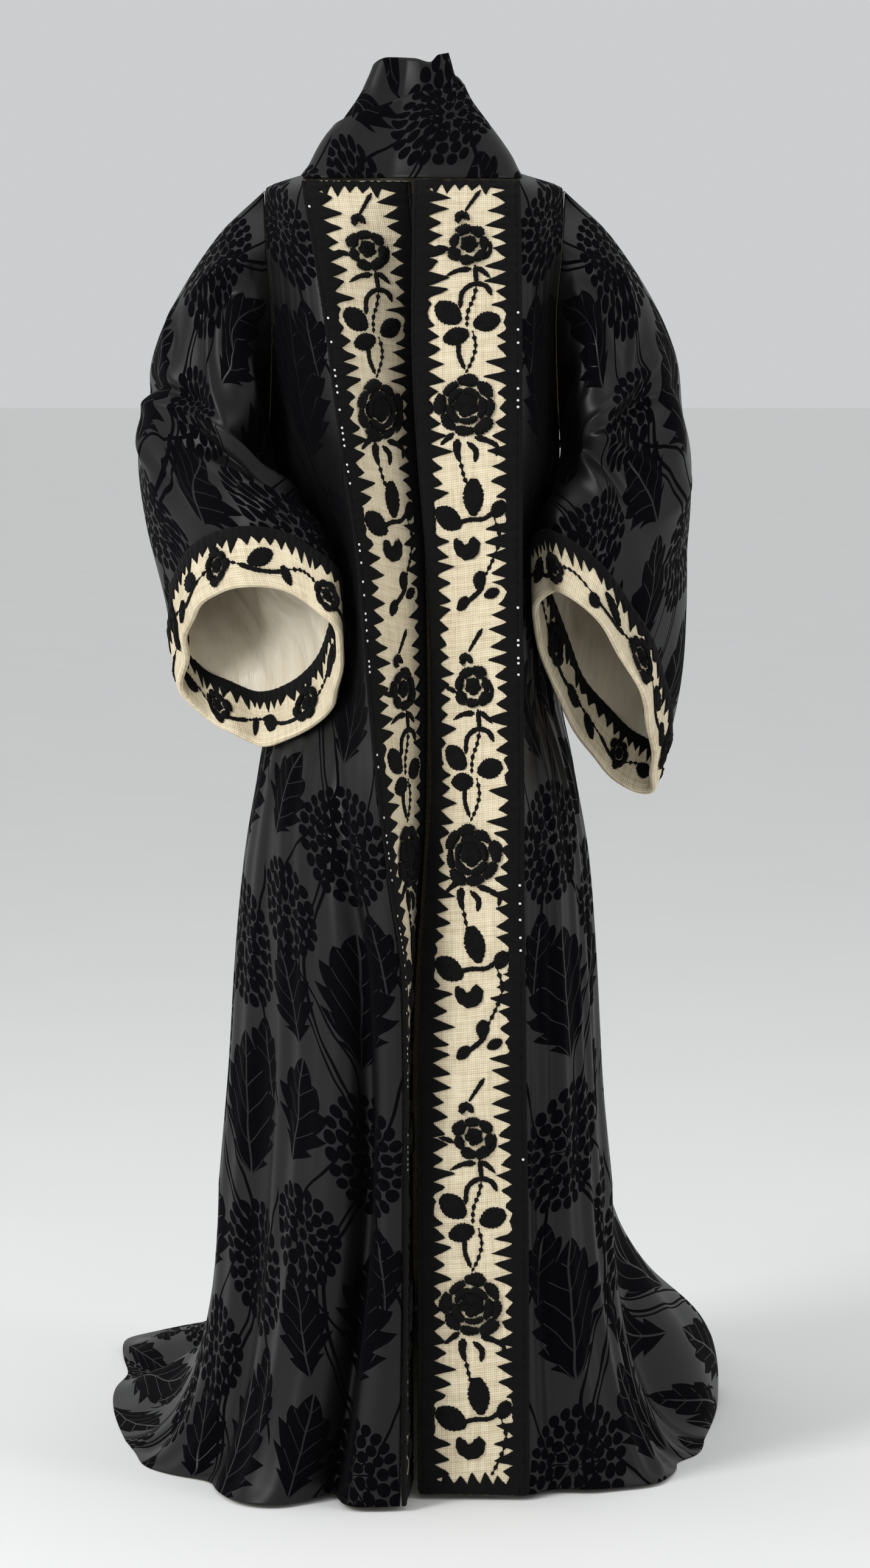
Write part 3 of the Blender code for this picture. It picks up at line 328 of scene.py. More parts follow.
# sharp creases: from angle and share to angle and share, width and height in metres
creaseNames = "angle share toAngle toShare width depth"
backCreases = ((-40, 0.14, -58, 0.60, 0.014, 0.008), (-86, 0.16, -96, 0.66, 0.014, -0.008),
               (-120, 0.22, -128, 0.70, 0.013, 0.007))
sleeveCreases = {
    "right": columns(
        creaseNames, *backCreases,
        (72, 0.08, 46, 0.30, 0.008, -0.008),    # pleats from the shoulder
        (58, 0.08, 30, 0.28, 0.011, 0.007),
        (44, 0.22, 100, 0.54, 0.010, 0.009),
        (100, 0.10, 112, 0.46, 0.011, 0.008),
        (120, 0.12, 128, 0.44, 0.009, -0.008),
        (12, 0.32, 52, 0.47, 0.009, 0.007),
        (28, 0.34, 44, 0.44, 0.008, -0.006),
        (-16, 0.465, 74, 0.475, 0.010, -0.011),    # break at the elbow
        (-6, 0.50, 70, 0.515, 0.014, 0.009),
        (18, 0.53, 40, 0.66, 0.010, 0.008),
        (74, 0.50, 168, 0.70, 0.010, 0.011),    # drag folds towards the band
        (70, 0.56, 172, 0.77, 0.009, -0.009),
        (60, 0.60, 165, 0.82, 0.011, 0.010),
        (40, 0.62, 62, 0.78, 0.010, -0.007),
        (88, 0.68, 150, 0.84, 0.009, 0.006),
    ),
    "left": columns(
        creaseNames, *backCreases,
        (70, 0.06, 84, 0.34, 0.010, 0.008),
        (92, 0.08, 100, 0.36, 0.009, -0.007),
        (50, 0.08, 60, 0.34, 0.011, 0.006),
        (30, 0.20, 62, 0.42, 0.009, 0.007),
        (130, 0.20, 138, 0.52, 0.010, 0.007),
        (108, 0.50, 40, 0.41, 0.011, 0.010),    # fan of folds from the crook of the arm
        (104, 0.53, 22, 0.47, 0.012, -0.008),
        (106, 0.52, 60, 0.66, 0.011, 0.010),
        (112, 0.55, 84, 0.76, 0.010, -0.008),
        (118, 0.55, 104, 0.80, 0.010, 0.008),
        (20, 0.62, 66, 0.74, 0.011, 0.007),
        (10, 0.70, 60, 0.80, 0.011, -0.006),
    ),
}


def armholeSeam(side, angle):
    turn = np.mod(angle, 2 * math.pi)
    drop = cut["shoulderDrop"] + (cut["underarmDrop"] - cut["shoulderDrop"]) * (1 - np.cos(turn)) / 2
    v = drop / cut["skirtDrop"] * skirtShare
    front = frontPoint(side, np.full_like(v, 2.0), v)
    back = backPoint(np.full_like(v, 1.0 if side == "left" else 0.0), v)
    loop = np.where((turn < math.pi)[..., None], front, back)
    return loop + np.array([sign[side] * 2 * cut["seam"], 0, 0])


def alongRings(knots, values, share):   # Catmull-Rom through the rings
    values = np.stack(values)
    tangent = np.gradient(values, knots, axis=0)
    i = np.clip(np.searchsorted(knots, share, side="right") - 1, 0, len(knots) - 2)
    step = knots[i + 1] - knots[i]
    s = (share - knots[i]) / step

    def at(grid, ring):
        return np.take_along_axis(grid, ring[None], 0)[0]

    return hermite(s, step, at(values, i), at(tangent, i), at(values, i + 1), at(tangent, i + 1))


def sleevePoint(side, angle, share):    # angle: 0 outer side, a quarter turn at the front
    angle, share = np.broadcast_arrays(np.asarray(angle, float), np.asarray(share, float))
    rings = sleeveRings[side]
    knots = np.concatenate([[0.0], rings["share"]])
    seam = armholeSeam(side, angle)
    place = []
    for i, axis in enumerate("xyz"):
        mirror = sign[side] if axis == "x" else 1.0
        out, fore = rings["out" + axis.upper()], rings["fore" + axis.upper()]
        ring = [mirror * (rings[axis][k] + out[k] * np.cos(angle) + fore[k] * np.sin(angle))
                for k in range(len(rings["share"]))]
        place.append(alongRings(knots, [seam[..., i]] + ring, share))
    return np.stack(place, axis=-1)


def clearOfBody(side, point, share):
    row = sectionAt(fronts[side], np.clip(-point[..., 2], 0, cut["skirtDrop"]))
    outline = [frontOutline(side, u, row) for u in np.linspace(1, 2, 13)]
    wall = np.abs(outline[0][0])
    for (x1, y1), (x2, y2) in zip(outline[:-1], outline[1:]):
        t = np.clip((point[..., 1] - y1) / np.maximum(y2 - y1, 1e-6), 0, 1)
        wall = np.where(t > 0, np.abs(x1 + (x2 - x1) * t), wall)
    room = np.abs(point[..., 0]) - wall - sleeveStyle["bodyMargin"] * ease(share / 0.25)
    soft = 0.010 * ease(share / 0.25) + 1e-6
    eased = soft * np.logaddexp(0, room / soft)
    x = np.where(share > 0, sign[side] * (np.abs(point[..., 0]) - room + eased), point[..., 0])
    return np.stack([x, point[..., 1], point[..., 2]], axis=-1)


def creaseDepth(side, angle, share):
    depth = np.zeros(np.broadcast(angle, share).shape)
    girth, length = sleeveStyle["girth"], sleeveStyle["length"]
    for crease in tableRows(sleeveCreases[side]):
        start = math.radians(crease["angle"])
        sweep = math.radians(crease["toAngle"]) - start
        x = np.angle(np.exp(1j * (angle - start))) * girth
        y = (share - crease["share"]) * length
        dx, dy = sweep * girth, (crease["toShare"] - crease["share"]) * length
        run = math.hypot(dx, dy)
        t = np.clip((x * dx + y * dy) / run ** 2, 0, 1)
        away = np.hypot(x - t * dx, y - t * dy)
        sharp = np.exp(-np.abs(away / crease["width"]) ** 1.5)
        depth = depth + crease["depth"] * np.sin(np.pi * (0.08 + 0.84 * t)) ** 0.7 * sharp
    return depth * ease(share / 0.08) * ease((1 - share) / 0.16)


def sleeveCloth(side, angle, share):
    angle, share = np.broadcast_arrays(np.asarray(angle, float), np.asarray(share, float))
    place = sleevePoint(side, angle, share)
    held = np.clip(share, 0.02, 0.99)
    around = sleevePoint(side, angle + 0.02, held) - sleevePoint(side, angle - 0.02, held)
    down = sleevePoint(side, angle, held + 0.01) - sleevePoint(side, angle, held - 0.01)
    normal = unit(sign[side] * np.cross(around, down))
    count, phase, height = sleeveStyle["waves"][side]
    depth = height * np.cos(count * angle + phase) * ease((share - 0.7) / 0.3)
    ruffle = np.cos((count + 2) * angle + 2.3 * phase) + 0.7 * np.cos((2 * count + 3) * angle + 1.7)
    depth = depth + sleeveStyle["ruffle"] * ruffle * ease((share - 0.82) / 0.18)
    for fold in tableRows(sleeveFolds):
        away = np.degrees(np.angle(np.exp(1j * (angle - math.radians(fold["angle"])))))
        along = (share - fold["share"]) / fold["length"]
        shape = np.exp(-(away / fold["spread"]) ** 2 - along ** 2)
        depth = depth + fold["depth"] * shape * ease(share / 0.15)
    depth = depth + creaseDepth(side, angle, share)
    return clearOfBody(side, place + normal * depth[..., None], share)


def shareFromMouth(side, angle, distance):
    mouth = sleevePoint(side, angle, np.ones_like(angle))
    gap = mouth - sleevePoint(side, angle, np.full_like(angle, 0.86))
    return 1 - 0.14 * distance / np.linalg.norm(gap, axis=-1)


# cloth made from a grid

def gridNormals(points, turned, closed=False):
    face = np.cross(points[1:, 1:] - points[:-1, :-1], points[1:, :-1] - points[:-1, 1:])
    normal = np.zeros_like(points)
    for part in (np.s_[1:, 1:], np.s_[1:, :-1], np.s_[:-1, 1:], np.s_[:-1, :-1]):
        normal[part] += face
    if closed:
        normal[:, 0] += normal[:, -1]
        normal[:, -1] = normal[:, 0]
    return -turned * unit(normal)


def clothMetres(points):    # how far each point lies across and down the flat cloth
    across = np.concatenate([np.zeros((len(points), 1)), np.cumsum(steps(points, 1), axis=1)], axis=1)
    across = across - across[:, across.shape[1] // 2][:, None]
    down = np.concatenate([np.zeros((1, points.shape[1])), np.cumsum(steps(points, 0), axis=0)], axis=0)
    return np.stack([across, down], axis=-1)


def fannedOut(points, ring, first):     # flat cloth whose columns fan out below the skirt's ring
    places = clothMetres(points)
    places[..., 0] = places[..., 0] - places[:, first, 0][:, None]
    length = places[ring:, :, 1] - places[ring, :, 1]
    wider = steps(points[-1], 0) - steps(points[ring], 0)
    turn = np.concatenate([[0.0], np.cumsum(wider * 2 / (length[-1, 1:] + length[-1, :-1]))])
    turn = turn - turn[first]
    places[ring:] = places[ring] + length[..., None] * np.stack([np.sin(turn), np.cos(turn)], axis=-1)
    return places


def flatCut(points):
    across = steps(points, 1).sum(axis=1).max()
    down = steps(points, 0).sum(axis=0).max()
    cell = np.cross(points[1:, 1:] - points[:-1, :-1], points[1:, :-1] - points[:-1, 1:])
    area = np.linalg.norm(cell, axis=-1).sum() / 2
    return (round(float(across), 3), round(float(down), 3)), float(area)


def finished(bm, mesh, *used):     # mesh, finishes and object of a piece
    bm.to_mesh(mesh)
    bm.free()
    mesh.shade_smooth()
    for finish in used:
        mesh.materials.append(finish)
    piece = bpy.data.objects.new(mesh.name, mesh)
    bpy.context.scene.collection.objects.link(piece)
    return piece


def addWall(piece, thick, offset):
    solid = piece.modifiers.new("wall", "SOLIDIFY")
    solid.thickness = thick
    solid.offset = offset
    return solid


def clothPanel(name, points, used, wall, outside, turned, closed=False, uv=None, bound=False):
    rows, wide = points.shape[:2]
    bm = bmesh.new()
    bmesh.ops.create_grid(bm, x_segments=wide - 1, y_segments=rows - 1, size=1.0)
    mesh = bpy.data.meshes.new(name)
    bm.to_mesh(mesh)
    flat = np.empty(len(mesh.vertices) * 3)
    mesh.vertices.foreach_get("co", flat)
    flat = flat.reshape(-1, 3)
    column = np.rint((flat[:, 0] + 1) / 2 * (wide - 1)).astype(int)
    row = np.rint((flat[:, 1] + 1) / 2 * (rows - 1)).astype(int)
    mesh.vertices.foreach_set("co", points[row, column].ravel())
    corner = np.empty(len(mesh.loops), int)
    mesh.loops.foreach_get("vertex_index", corner)
    metres = clothMetres(points) if uv is None else uv
    layer = mesh.uv_layers.new(name="cloth")
    layer.data.foreach_set("uv", metres[row, column][corner].ravel())
    bm.clear()
    bm.from_mesh(mesh)
    if closed:
        bmesh.ops.remove_doubles(bm, verts=bm.verts, dist=1e-6)
    if turned > 0:
        bmesh.ops.reverse_faces(bm, faces=bm.faces)
    piece = finished(bm, mesh, *used)
    solid = addWall(piece, wall, 1.0 if outside else -1.0)
    solid.material_offset = 1 if len(used) > 1 and not bound else 0
    solid.material_offset_rim = 1 if bound else 0     # bound edges take the second finish
    return piece


def sewOn(piece, slot, *nodes):     # every piece rides on the coat and stands for its solids
    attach(piece, "root")
    if nodes:
        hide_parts(*nodes)


def sewSheet(piece, points, slot, node):
    flat, area = flatCut(points)
    sewOn(piece, slot, node)
    print(piece.name, flat, round(area, 3))


# shader maths as plain expressions

class Wire:
    def __init__(self, shade, socket):
        self.shade = shade
        self.socket = socket

    def __add__(self, other):
        return self.shade.maths("ADD", self, other)

    def __sub__(self, other):
        return self.shade.maths("SUBTRACT", self, other)

    def __rsub__(self, other):
        return self.shade.maths("SUBTRACT", other, self)

    def __mul__(self, other):
        return self.shade.maths("MULTIPLY", self, other)

    def __truediv__(self, other):
        return self.shade.maths("DIVIDE", self, other)

    def __lt__(self, other):
        return self.shade.maths("LESS_THAN", self, other)

    def __or__(self, other):
        return self.shade.maths("MAXIMUM", self, other)

    def __and__(self, other):
        return self.shade.maths("MINIMUM", self, other)

    def __abs__(self):
        return self.shade.maths("ABSOLUTE", self)

    __radd__ = __add__
    __rmul__ = __mul__


class Shade:
    def __init__(self, name):
        self.material = bpy.data.materials.new(name)
        self.material.use_nodes = True
        self.tree = self.material.node_tree
        self.tree.nodes.clear()

    def node(self, kind, settings, sockets, output=0):
        made = self.tree.nodes.new(kind)
        for key, value in settings.items():
            setattr(made, key, value)
        for key, value in sockets.items():
            if isinstance(value, Wire):
                self.tree.links.new(value.socket, made.inputs[key])
            else:
                made.inputs[key].default_value = value
        return Wire(self, made.outputs[output]) if len(made.outputs) else None

    def maths(self, operation, *values):
        return self.node("ShaderNodeMath", {"operation": operation}, dict(enumerate(values)))

    def clothPlace(self):
        place = self.node("ShaderNodeUVMap", {"uv_map": "cloth"}, {})
        x = self.node("ShaderNodeSeparateXYZ", {}, {0: place}, 0)
        y = self.node("ShaderNodeSeparateXYZ", {}, {0: place}, 1)
        return place, x, y

    def noise(self, place, scale, detail=2.0):
        return self.node("ShaderNodeTexNoise", {}, {"Vector": place, "Scale": scale, "Detail": detail})

    def stretch(self, place, x, y):
        return self.node("ShaderNodeVectorMath", {"operation": "MULTIPLY"}, {0: place, 1: (x, y, 1.0)})

    def shades(self, share, colour, low, high):     # one colour, darker and lighter
        return self.tint(share, tuple(low * k for k in colour), tuple(high * k for k in colour))

    def tint(self, share, low, high):
        return self.node("ShaderNodeMix", {"data_type": "RGBA"},
                         {0: share, 6: (*low, 1.0), 7: (*high, 1.0)}, 2)

    def bump(self, height, strength, distance):
        return self.node("ShaderNodeBump", {},
                         {"Height": height, "Strength": strength, "Distance": distance})

    def shader(self, **sockets):
        names = {key.replace("_", " "): value for key, value in sockets.items()}
        return self.node("ShaderNodeBsdfPrincipled", {}, names)

    def surface(self, **sockets):
        return self.show(self.shader(**sockets))

    def show(self, shader):
        self.node("ShaderNodeOutputMaterial", {}, {"Surface": shader})
        return self.material


# figured silk: satin ground with cut velvet umbels, toothed leaves and stems

figure = {
    "tile": (0.196, 0.316),
    # umbels: centre, then rings of dots as radius, count, dot radius and phase
    "umbels": (
        ((-0.041, -0.078), ((0.0150, 7, 0.0055, 0.2), (0.0285, 13, 0.0061, 0.0), (0.0420, 19, 0.0062, 0.3),
                            (0.0555, 25, 0.0060, 0.1))),
        ((0.053, 0.018), ((0.0145, 7, 0.0055, 0.1), (0.0280, 13, 0.0062, 0.4), (0.0415, 19, 0.0061, 0.0))),
    ),
    # leaves: foot, angle, length, width and teeth
    "leaves": (((-0.032, 0.152), -95, 0.140, 0.112, 6), ((0.046, 0.150), -75, 0.100, 0.078, 5),
               ((0.066, -0.048), -104, 0.108, 0.082, 5), ((-0.080, 0.066), -84, 0.082, 0.056, 4)),
    # stems: place across, sway, phase and half width
    "stems": ((0.000, 0.030, 0.0, 0.0022), (0.008, 0.030, 0.0, 0.0016), (0.018, 0.046, 1.2, 0.0019),
              (-0.085, 0.020, 2.6, 0.0018)),
    "satin": (0.0046, 0.0046, 0.0049),
    "velvet": (0.0013, 0.0013, 0.0020),
}


def figuredSilk(name):
    shade = Shade(name)
    place, x, y = shade.clothPlace()
    x = x + (shade.noise(place, 11.0) - 0.5) * 0.022
    y = y + (shade.noise(shade.stretch(place, 1.0, 1.3), 9.0) - 0.5) * 0.022
    wide, tall = figure["tile"]
    column = shade.maths("FLOOR", x / wide)
    odd = abs(shade.maths("MODULO", column, 2.0))
    px = x - (column + 0.5) * wide
    py = shade.maths("FLOORED_MODULO", y + odd * (tall / 2), tall) - tall / 2
    mask = None
    for (cx, cy), rings in figure["umbels"]:
        dx, dy = px - cx, py - cy
        radius = shade.maths("SQRT", dx * dx + dy * dy)
        turn = shade.maths("ARCTAN2", dy, dx)
        for reach, count, dot, phase in rings:
            step = shade.maths("FRACT", turn * (count / (2 * math.pi)) + (phase + 8)) - 0.5
            along = step * (2 * math.pi * reach / count)
            out = (radius - reach) * 0.86
            hit = (along * along + out * out) < dot ** 2
            mask = hit if mask is None else mask | hit
        spoke = abs(shade.maths("SINE", turn * 6.5)) < 0.30
        mask = mask | (radius < 0.0055) | ((radius < 0.027) & spoke)
    for (bx, by), angle, length, width, teeth in figure["leaves"]:
        c, s = math.cos(math.radians(angle)), math.sin(math.radians(angle))
        along = ((px - bx) * c + (py - by) * s) / length
        along = (along & 1.1) | -0.1
        across = abs((py - by) * c - (px - bx) * s)
        body = shade.maths("SINE", along * math.pi)
        tooth = shade.maths("FRACT", along * teeth) * 0.34 + 0.66
        half = body * tooth * (width / 2)
        vein = (across < 0.0011) | (shade.maths("FRACT", (along - across * 9.0) * 5.0 + 3.0) < 0.05)
        mask = mask | ((across < half) & (1 - vein * (across < half * 0.8)))
    for start, sway, phase, thick in figure["stems"]:
        line = shade.maths("SINE", py * (2 * math.pi / tall) + phase) * sway + start
        mask = mask | (abs(px - line) < thick)
    grain = shade.noise(shade.stretch(place, 1.0, 0.2), 900.0)
    slub = shade.noise(place, 14.0)
    ground = shade.shades(slub, figure["satin"], 0.70, 1.35)
    nap = shade.shades(grain, figure["velvet"], 0.6, 1.5)
    crease = shade.noise(shade.stretch(place, 1.0, 0.4), 45.0)
    weave = shade.bump(mask * 0.7 + grain * 0.10 + crease * 0.6, 0.30, 0.0012)
    pileUp = shade.bump(mask * 0.7 + grain * 0.7, 0.45, 0.0012)
    silk = shade.shader(Base_Color=ground, Roughness=0.34 + grain * 0.08 + slub * 0.10, Normal=weave,
                        Specular_IOR_Level=0.27)
    velvet = shade.shader(Base_Color=nap, Roughness=0.98 - grain * 0.05, Normal=pileUp,
                          Specular_IOR_Level=0.05, Sheen_Weight=0.01, Sheen_Roughness=0.4)
    return shade.show(shade.node("ShaderNodeMixShader", {}, {0: mask, 1: silk, 2: velvet}))


def openCanvas(name):       # cream gauze of uneven yarns
    shade = Shade(name)
    place, x, y = shade.clothPlace()
    wobbleX = (shade.noise(shade.stretch(place, 1.0, 0.25), 160.0) - 0.5) * 5.0
    wobbleY = (shade.noise(shade.stretch(place, 0.25, 1.0), 170.0) - 0.5) * 5.0
    warp = shade.maths("SINE", x * (2 * math.pi / 0.0021) + wobbleX)
    weft = shade.maths("SINE", y * (2 * math.pi / 0.0023) + wobbleY)
    yarn = (warp * 0.5 + 0.5) | (weft * 0.5 + 0.5)
    slubX = shade.noise(shade.stretch(place, 1.0, 0.08), 300.0)
    slubY = shade.noise(shade.stretch(place, 0.08, 1.0), 280.0)
    lightness = yarn * 0.62 + (slubX + slubY) * 0.95 - 0.66
    stain = shade.noise(place, 22.0)
    dark = shade.tint(stain, (0.34, 0.24, 0.115), (0.52, 0.40, 0.22))
    colour = shade.node("ShaderNodeMix", {"data_type": "RGBA"},
                        {0: lightness, 6: dark, 7: (0.86, 0.76, 0.55, 1.0)}, 2)
    height = yarn + (slubX + slubY) * 0.5
    return shade.surface(Base_Color=colour, Roughness=0.86 - slubX * 0.25,
                         Normal=shade.bump(height, 0.6, 0.0008), Sheen_Weight=0.1)


def blackChenille(name):    # dense tufted pile
    shade = Shade(name)
    place = shade.node("ShaderNodeTexCoord", {}, {}, 3)
    tuft = shade.noise(place, 1100.0, 3.0)
    patch = shade.noise(place, 90.0)
    colour = shade.tint(tuft * 0.7 + patch * 0.3, (0.0012, 0.0012, 0.0014), (0.0085, 0.0080, 0.0080))
    return shade.surface(Base_Color=colour, Roughness=0.97 - patch * 0.12,
                         Normal=shade.bump(tuft + patch * 0.6, 0.9, 0.0011),
                         Sheen_Weight=0.02, Sheen_Roughness=0.5, Specular_IOR_Level=0.12)


def ivorySatin(name):
    shade = Shade(name)
    place, x, y = shade.clothPlace()
    thread = shade.noise(shade.stretch(place, 1.0, 0.1), 700.0)
    rumple = shade.noise(shade.stretch(place, 1.0, 0.35), 34.0)
    # ivory of the lining, with painted shade in the troughs and a painted highlight on the crests of the
    # same rumple noise that raises its bump
    colour = shade.tint(rumple, (0.56, 0.48, 0.34), (0.86, 0.80, 0.66))
    return shade.surface(Base_Color=colour, Roughness=0.24 + thread * 0.12,
                         Normal=shade.bump(rumple + thread * 0.06, 0.9, 0.012), Sheen_Weight=0.05)


def glassSequin(name):
    shade = Shade(name)
    place = shade.node("ShaderNodeTexCoord", {}, {}, 3)
    colour = shade.tint(shade.noise(place, 240.0), (0.62, 0.62, 0.66), (0.95, 0.95, 0.97))
    return shade.surface(Base_Color=colour, Roughness=0.12 + shade.noise(place, 300.0) * 0.1,
                         Metallic=0.35, Coat_Weight=0.8)


finishes = {
    "silk": figuredSilk("figuredSilk"),
    "canvas": openCanvas("openCanvas"),
    "chenille": blackChenille("blackChenille"),
    "ivory": ivorySatin("ivorySatin"),
    "sequin": glassSequin("glassSequin"),
}
linedSilk = [finishes["silk"], finishes["ivory"]]
print("finishes ready:", ", ".join(finishes))


# body panels

# folds: a sway, then waves across the panel with a phase and a share of the ripple's height
bodyStyle = {
    "frontColumns": 110, "frontRows": 320, "backColumns": 170, "backRows": 260, "ripples": 0.0035,
    "frontFolds": (0.4, ((4, 0.3, 0.7), (7, 1.4, 0.5), (11, 2.0, 0.25))),
    "backFolds": (1.1, ((9, 0.3, 0.9), (14, 1.0, 0.5), (23, 2.0, 0.25))),
}


def panelShares(rows):
    above = np.linspace(0, skirtShare, int(rows * 0.7))
    return np.concatenate([above, np.linspace(skirtShare, 1, rows - len(above) + 1)[1:]])


def rippled(points, normals, at, v, folds):     # small soft folds that fade at the seams
    quiet = ease(at / 0.10) * ease((1 - at) / 0.10) * ease(v / 0.08) * ease((1 - v) / 0.02)
    sway = 0.02 * np.sin(7 * v + folds[0])
    depth = sum(np.sin(2 * math.pi * count * (at + sway) + phase) * size for count, phase, size in folds[1])
    grow = 0.08 + 0.92 * ease((v - 0.25) / 0.5)
    return points + normals * (bodyStyle["ripples"] * depth * quiet * grow)[..., None]


def ringRow(v):     # row of a panel where the skirt starts to flow out
    return int(np.argmax(v[:, 0] >= skirtShare))


def makeFront(side):
    at = np.linspace(0.004, 1, bodyStyle["frontColumns"])[None, :]
    v = panelShares(bodyStyle["frontRows"])[:, None]
    at, v = np.broadcast_arrays(at, v)
    points = frontPoint(side, 1 + at, v)
    normals = gridNormals(points, sign[side])
    points = rippled(points, normals, at, v, bodyStyle["frontFolds"])
    piece = clothPanel("front" + side.title(), points, linedSilk, cut["cloth"], False, sign[side],
                       uv=fannedOut(points, ringRow(v), 0))
    sewSheet(piece, points, "velvet", "front_" + side)


def makeBack():
    at = np.linspace(0, 1, bodyStyle["backColumns"])[None, :]
    v = panelShares(bodyStyle["backRows"])[:, None]
    at, v = np.broadcast_arrays(at, v)
    points = backPoint(at, v)
    normals = gridNormals(points, -1.0)
    points = rippled(points, normals, at, v, bodyStyle["backFolds"])
    points[..., 2] = np.maximum(points[..., 2], cut["floor"] + cut["cloth"])
    piece = clothPanel("backPanel", points, linedSilk, cut["cloth"], False, -1.0,
                       uv=fannedOut(points, ringRow(v), points.shape[1] // 2))
    sewSheet(piece, points, "velvet", "back")


# sleeves, linings and cuffs

def makeSleeve(side):
    turned = -sign[side]
    angle = np.linspace(-math.pi, math.pi, sleeveStyle["columns"])      # seam on the side next to the body
    rows = np.linspace(0, 1, sleeveStyle["rows"])[:, None]
    points = sleeveCloth(side, angle, rows)
    points[:, -1] = points[:, 0]
    normals = gridNormals(points, turned, closed=True)
    piece = clothPanel("sleeve" + side.title(), points, linedSilk, cut["cloth"], False, turned, closed=True)
    sewSheet(piece, points, "velvet", "sleeve_" + side)
    rumple = np.sin(5 * angle + 9 * rows + 1.6 * np.sin(8 * rows)) + 0.6 * np.sin(9 * angle - 14 * rows)
    rumple = (1.6 + rumple) * ease((rows - 0.6) / 0.15) * ease((1 - rows) / 0.16)
    inset = cut["cloth"] + 2 * cut["seam"] + sleeveStyle["rumple"] * rumple[..., None]
    under = (points - inset * normals)[sleeveStyle["liningRow"]:]
    inside = clothPanel("lining" + side.title(), under, [finishes["ivory"]], cut["lining"], False, turned,
                        closed=True)
    sewSheet(inside, under, "satin", "lining_" + side)
    makeCuff(side, angle, turned)


cuffFaces = {}


def makeCuff(side, angle, turned):
    edge = shareFromMouth(side, angle, sleeveStyle["cuffWidth"])
    rows = np.linspace(0, 1, sleeveStyle["cuffRows"])[:, None]
    sleeve = sleeveCloth(side, angle, edge + (1 - edge) * rows)
    sleeve[:, -1] = sleeve[:, 0]
    normals = gridNormals(sleeve, turned, closed=True)
    outer = sleeve + 2 * cut["seam"] * normals
    inner = sleeve - (cut["cloth"] + cut["lining"] + 5 * cut["seam"]) * normals
    onward = sleeveStyle["cuffRoll"] * unit(sleeve[-1] - sleeve[-2])
    bend = [math.cos(t) for t in np.linspace(0, math.pi, 7)[1:-1]]
    roll = [(1 + c) / 2 * outer[-1] + (1 - c) / 2 * inner[-1] + math.sqrt(1 - c * c) * onward for c in bend]
    folded = np.concatenate([outer, np.stack(roll), inner[::-1]])
    piece = clothPanel("cuff" + side.title(), folded, [finishes["canvas"]], cut["canvas"], True, turned,
                       closed=True)
    sewSheet(piece, folded, "canvas", "cuff_" + side)
    cuffFaces[side] = {"outer": (outer, normals), "inner": (inner, -normals)}


# bands

bandCloth = {"rows": 520, "columns": 46, "top": 0.0035}     # top: share where the canvas starts
bandFaces = {}


def makeBand(side):
    v = panelShares(bandCloth["rows"])
    v[0] = bandCloth["top"]
    points = frontPoint(side, np.linspace(0, 1, bandCloth["columns"]), v[:, None])
    normals = gridNormals(points, sign[side])
    points = points + cut["seam"] * normals
    piece = clothPanel("band" + side.title(), points, [finishes["canvas"], finishes["chenille"]],
                       cut["canvas"], True, sign[side], bound=True)
    sewSheet(piece, points, "canvas", "band_" + side)
    middle = steps(points[:, bandCloth["columns"] // 2], 0)
    bandFaces[side] = (points, normals, np.concatenate([[0.0], np.cumsum(middle)]))


def spotOnGrid(points, normals, row, column, height):
    i = np.clip(np.floor(row).astype(int), 0, points.shape[0] - 2)
    j = np.clip(np.floor(column).astype(int), 0, points.shape[1] - 2)
    a, b = (row - i)[..., None], (column - j)[..., None]

    def mix(grid):
        return ((1 - a) * ((1 - b) * grid[i, j] + b * grid[i, j + 1])
                + a * ((1 - b) * grid[i + 1, j] + b * grid[i + 1, j + 1]))

    return mix(points) + height[..., None] * mix(normals)


def onBand(side):       # across from the inner edge, down from the neck, height over the canvas
    points, normals, lengths = bandFaces[side]

    def place(across, down, height):
        row = np.interp(down, lengths, np.arange(len(lengths)))
        column = across / cut["bandWidth"] * (points.shape[1] - 1)
        return spotOnGrid(points, normals, row, column, height + cut["canvas"])
    return place


def onCuff(side, face):     # across: metres round from the outer side, down: metres from the free edge
    points, normals = cuffFaces[side][face]
    girth = steps(points[len(points) // 2], 0).sum()

    def place(across, down, height):
        row = down / sleeveStyle["cuffWidth"] * (points.shape[0] - 1)
        column = np.mod(across / girth + 0.5, 1.0) * (points.shape[1] - 1)
        return spotOnGrid(points, normals, row, column, height + cut["canvas"])
    return place, girth


# chenille work, shaped flat and then laid on a band or cuff

pile = {
    "leafRise": 0.0030, "roseRise": 0.0048, "toothRise": 0.0019, "least": 0.0003,
    "row": 0.0040, "cord": 0.0008, "fuzz": 0.00045, "backing": 0.0006,
    "heart": 0.40, "fullRose": 0.028,       # from this size on a rose has two rings
    "smallRings": ((7, 0.50, 0.98),),       # petals, inner and outer share of the size
    "fullRings": ((5, 0.40, 0.66), (8, 0.66, 1.02)),
}


def tufts(s, seed):     # uneven edge of cut pile
    waves = np.sin(47 * s + seed) + 0.9 * np.sin(83 * s + 2.3 * seed) + 0.7 * np.sin(131 * s)
    return pile["fuzz"] * waves


def layPatch(bm, wide, tall, shape, place):
    made = bmesh.ops.create_grid(bm, x_segments=wide, y_segments=tall, size=1.0)["verts"]
    flat = np.array([vert.co[:2] for vert in made])
    spots = place(*shape(flat[:, 0], flat[:, 1]))
    for vert, spot in zip(made, spots):
        vert.co = spot


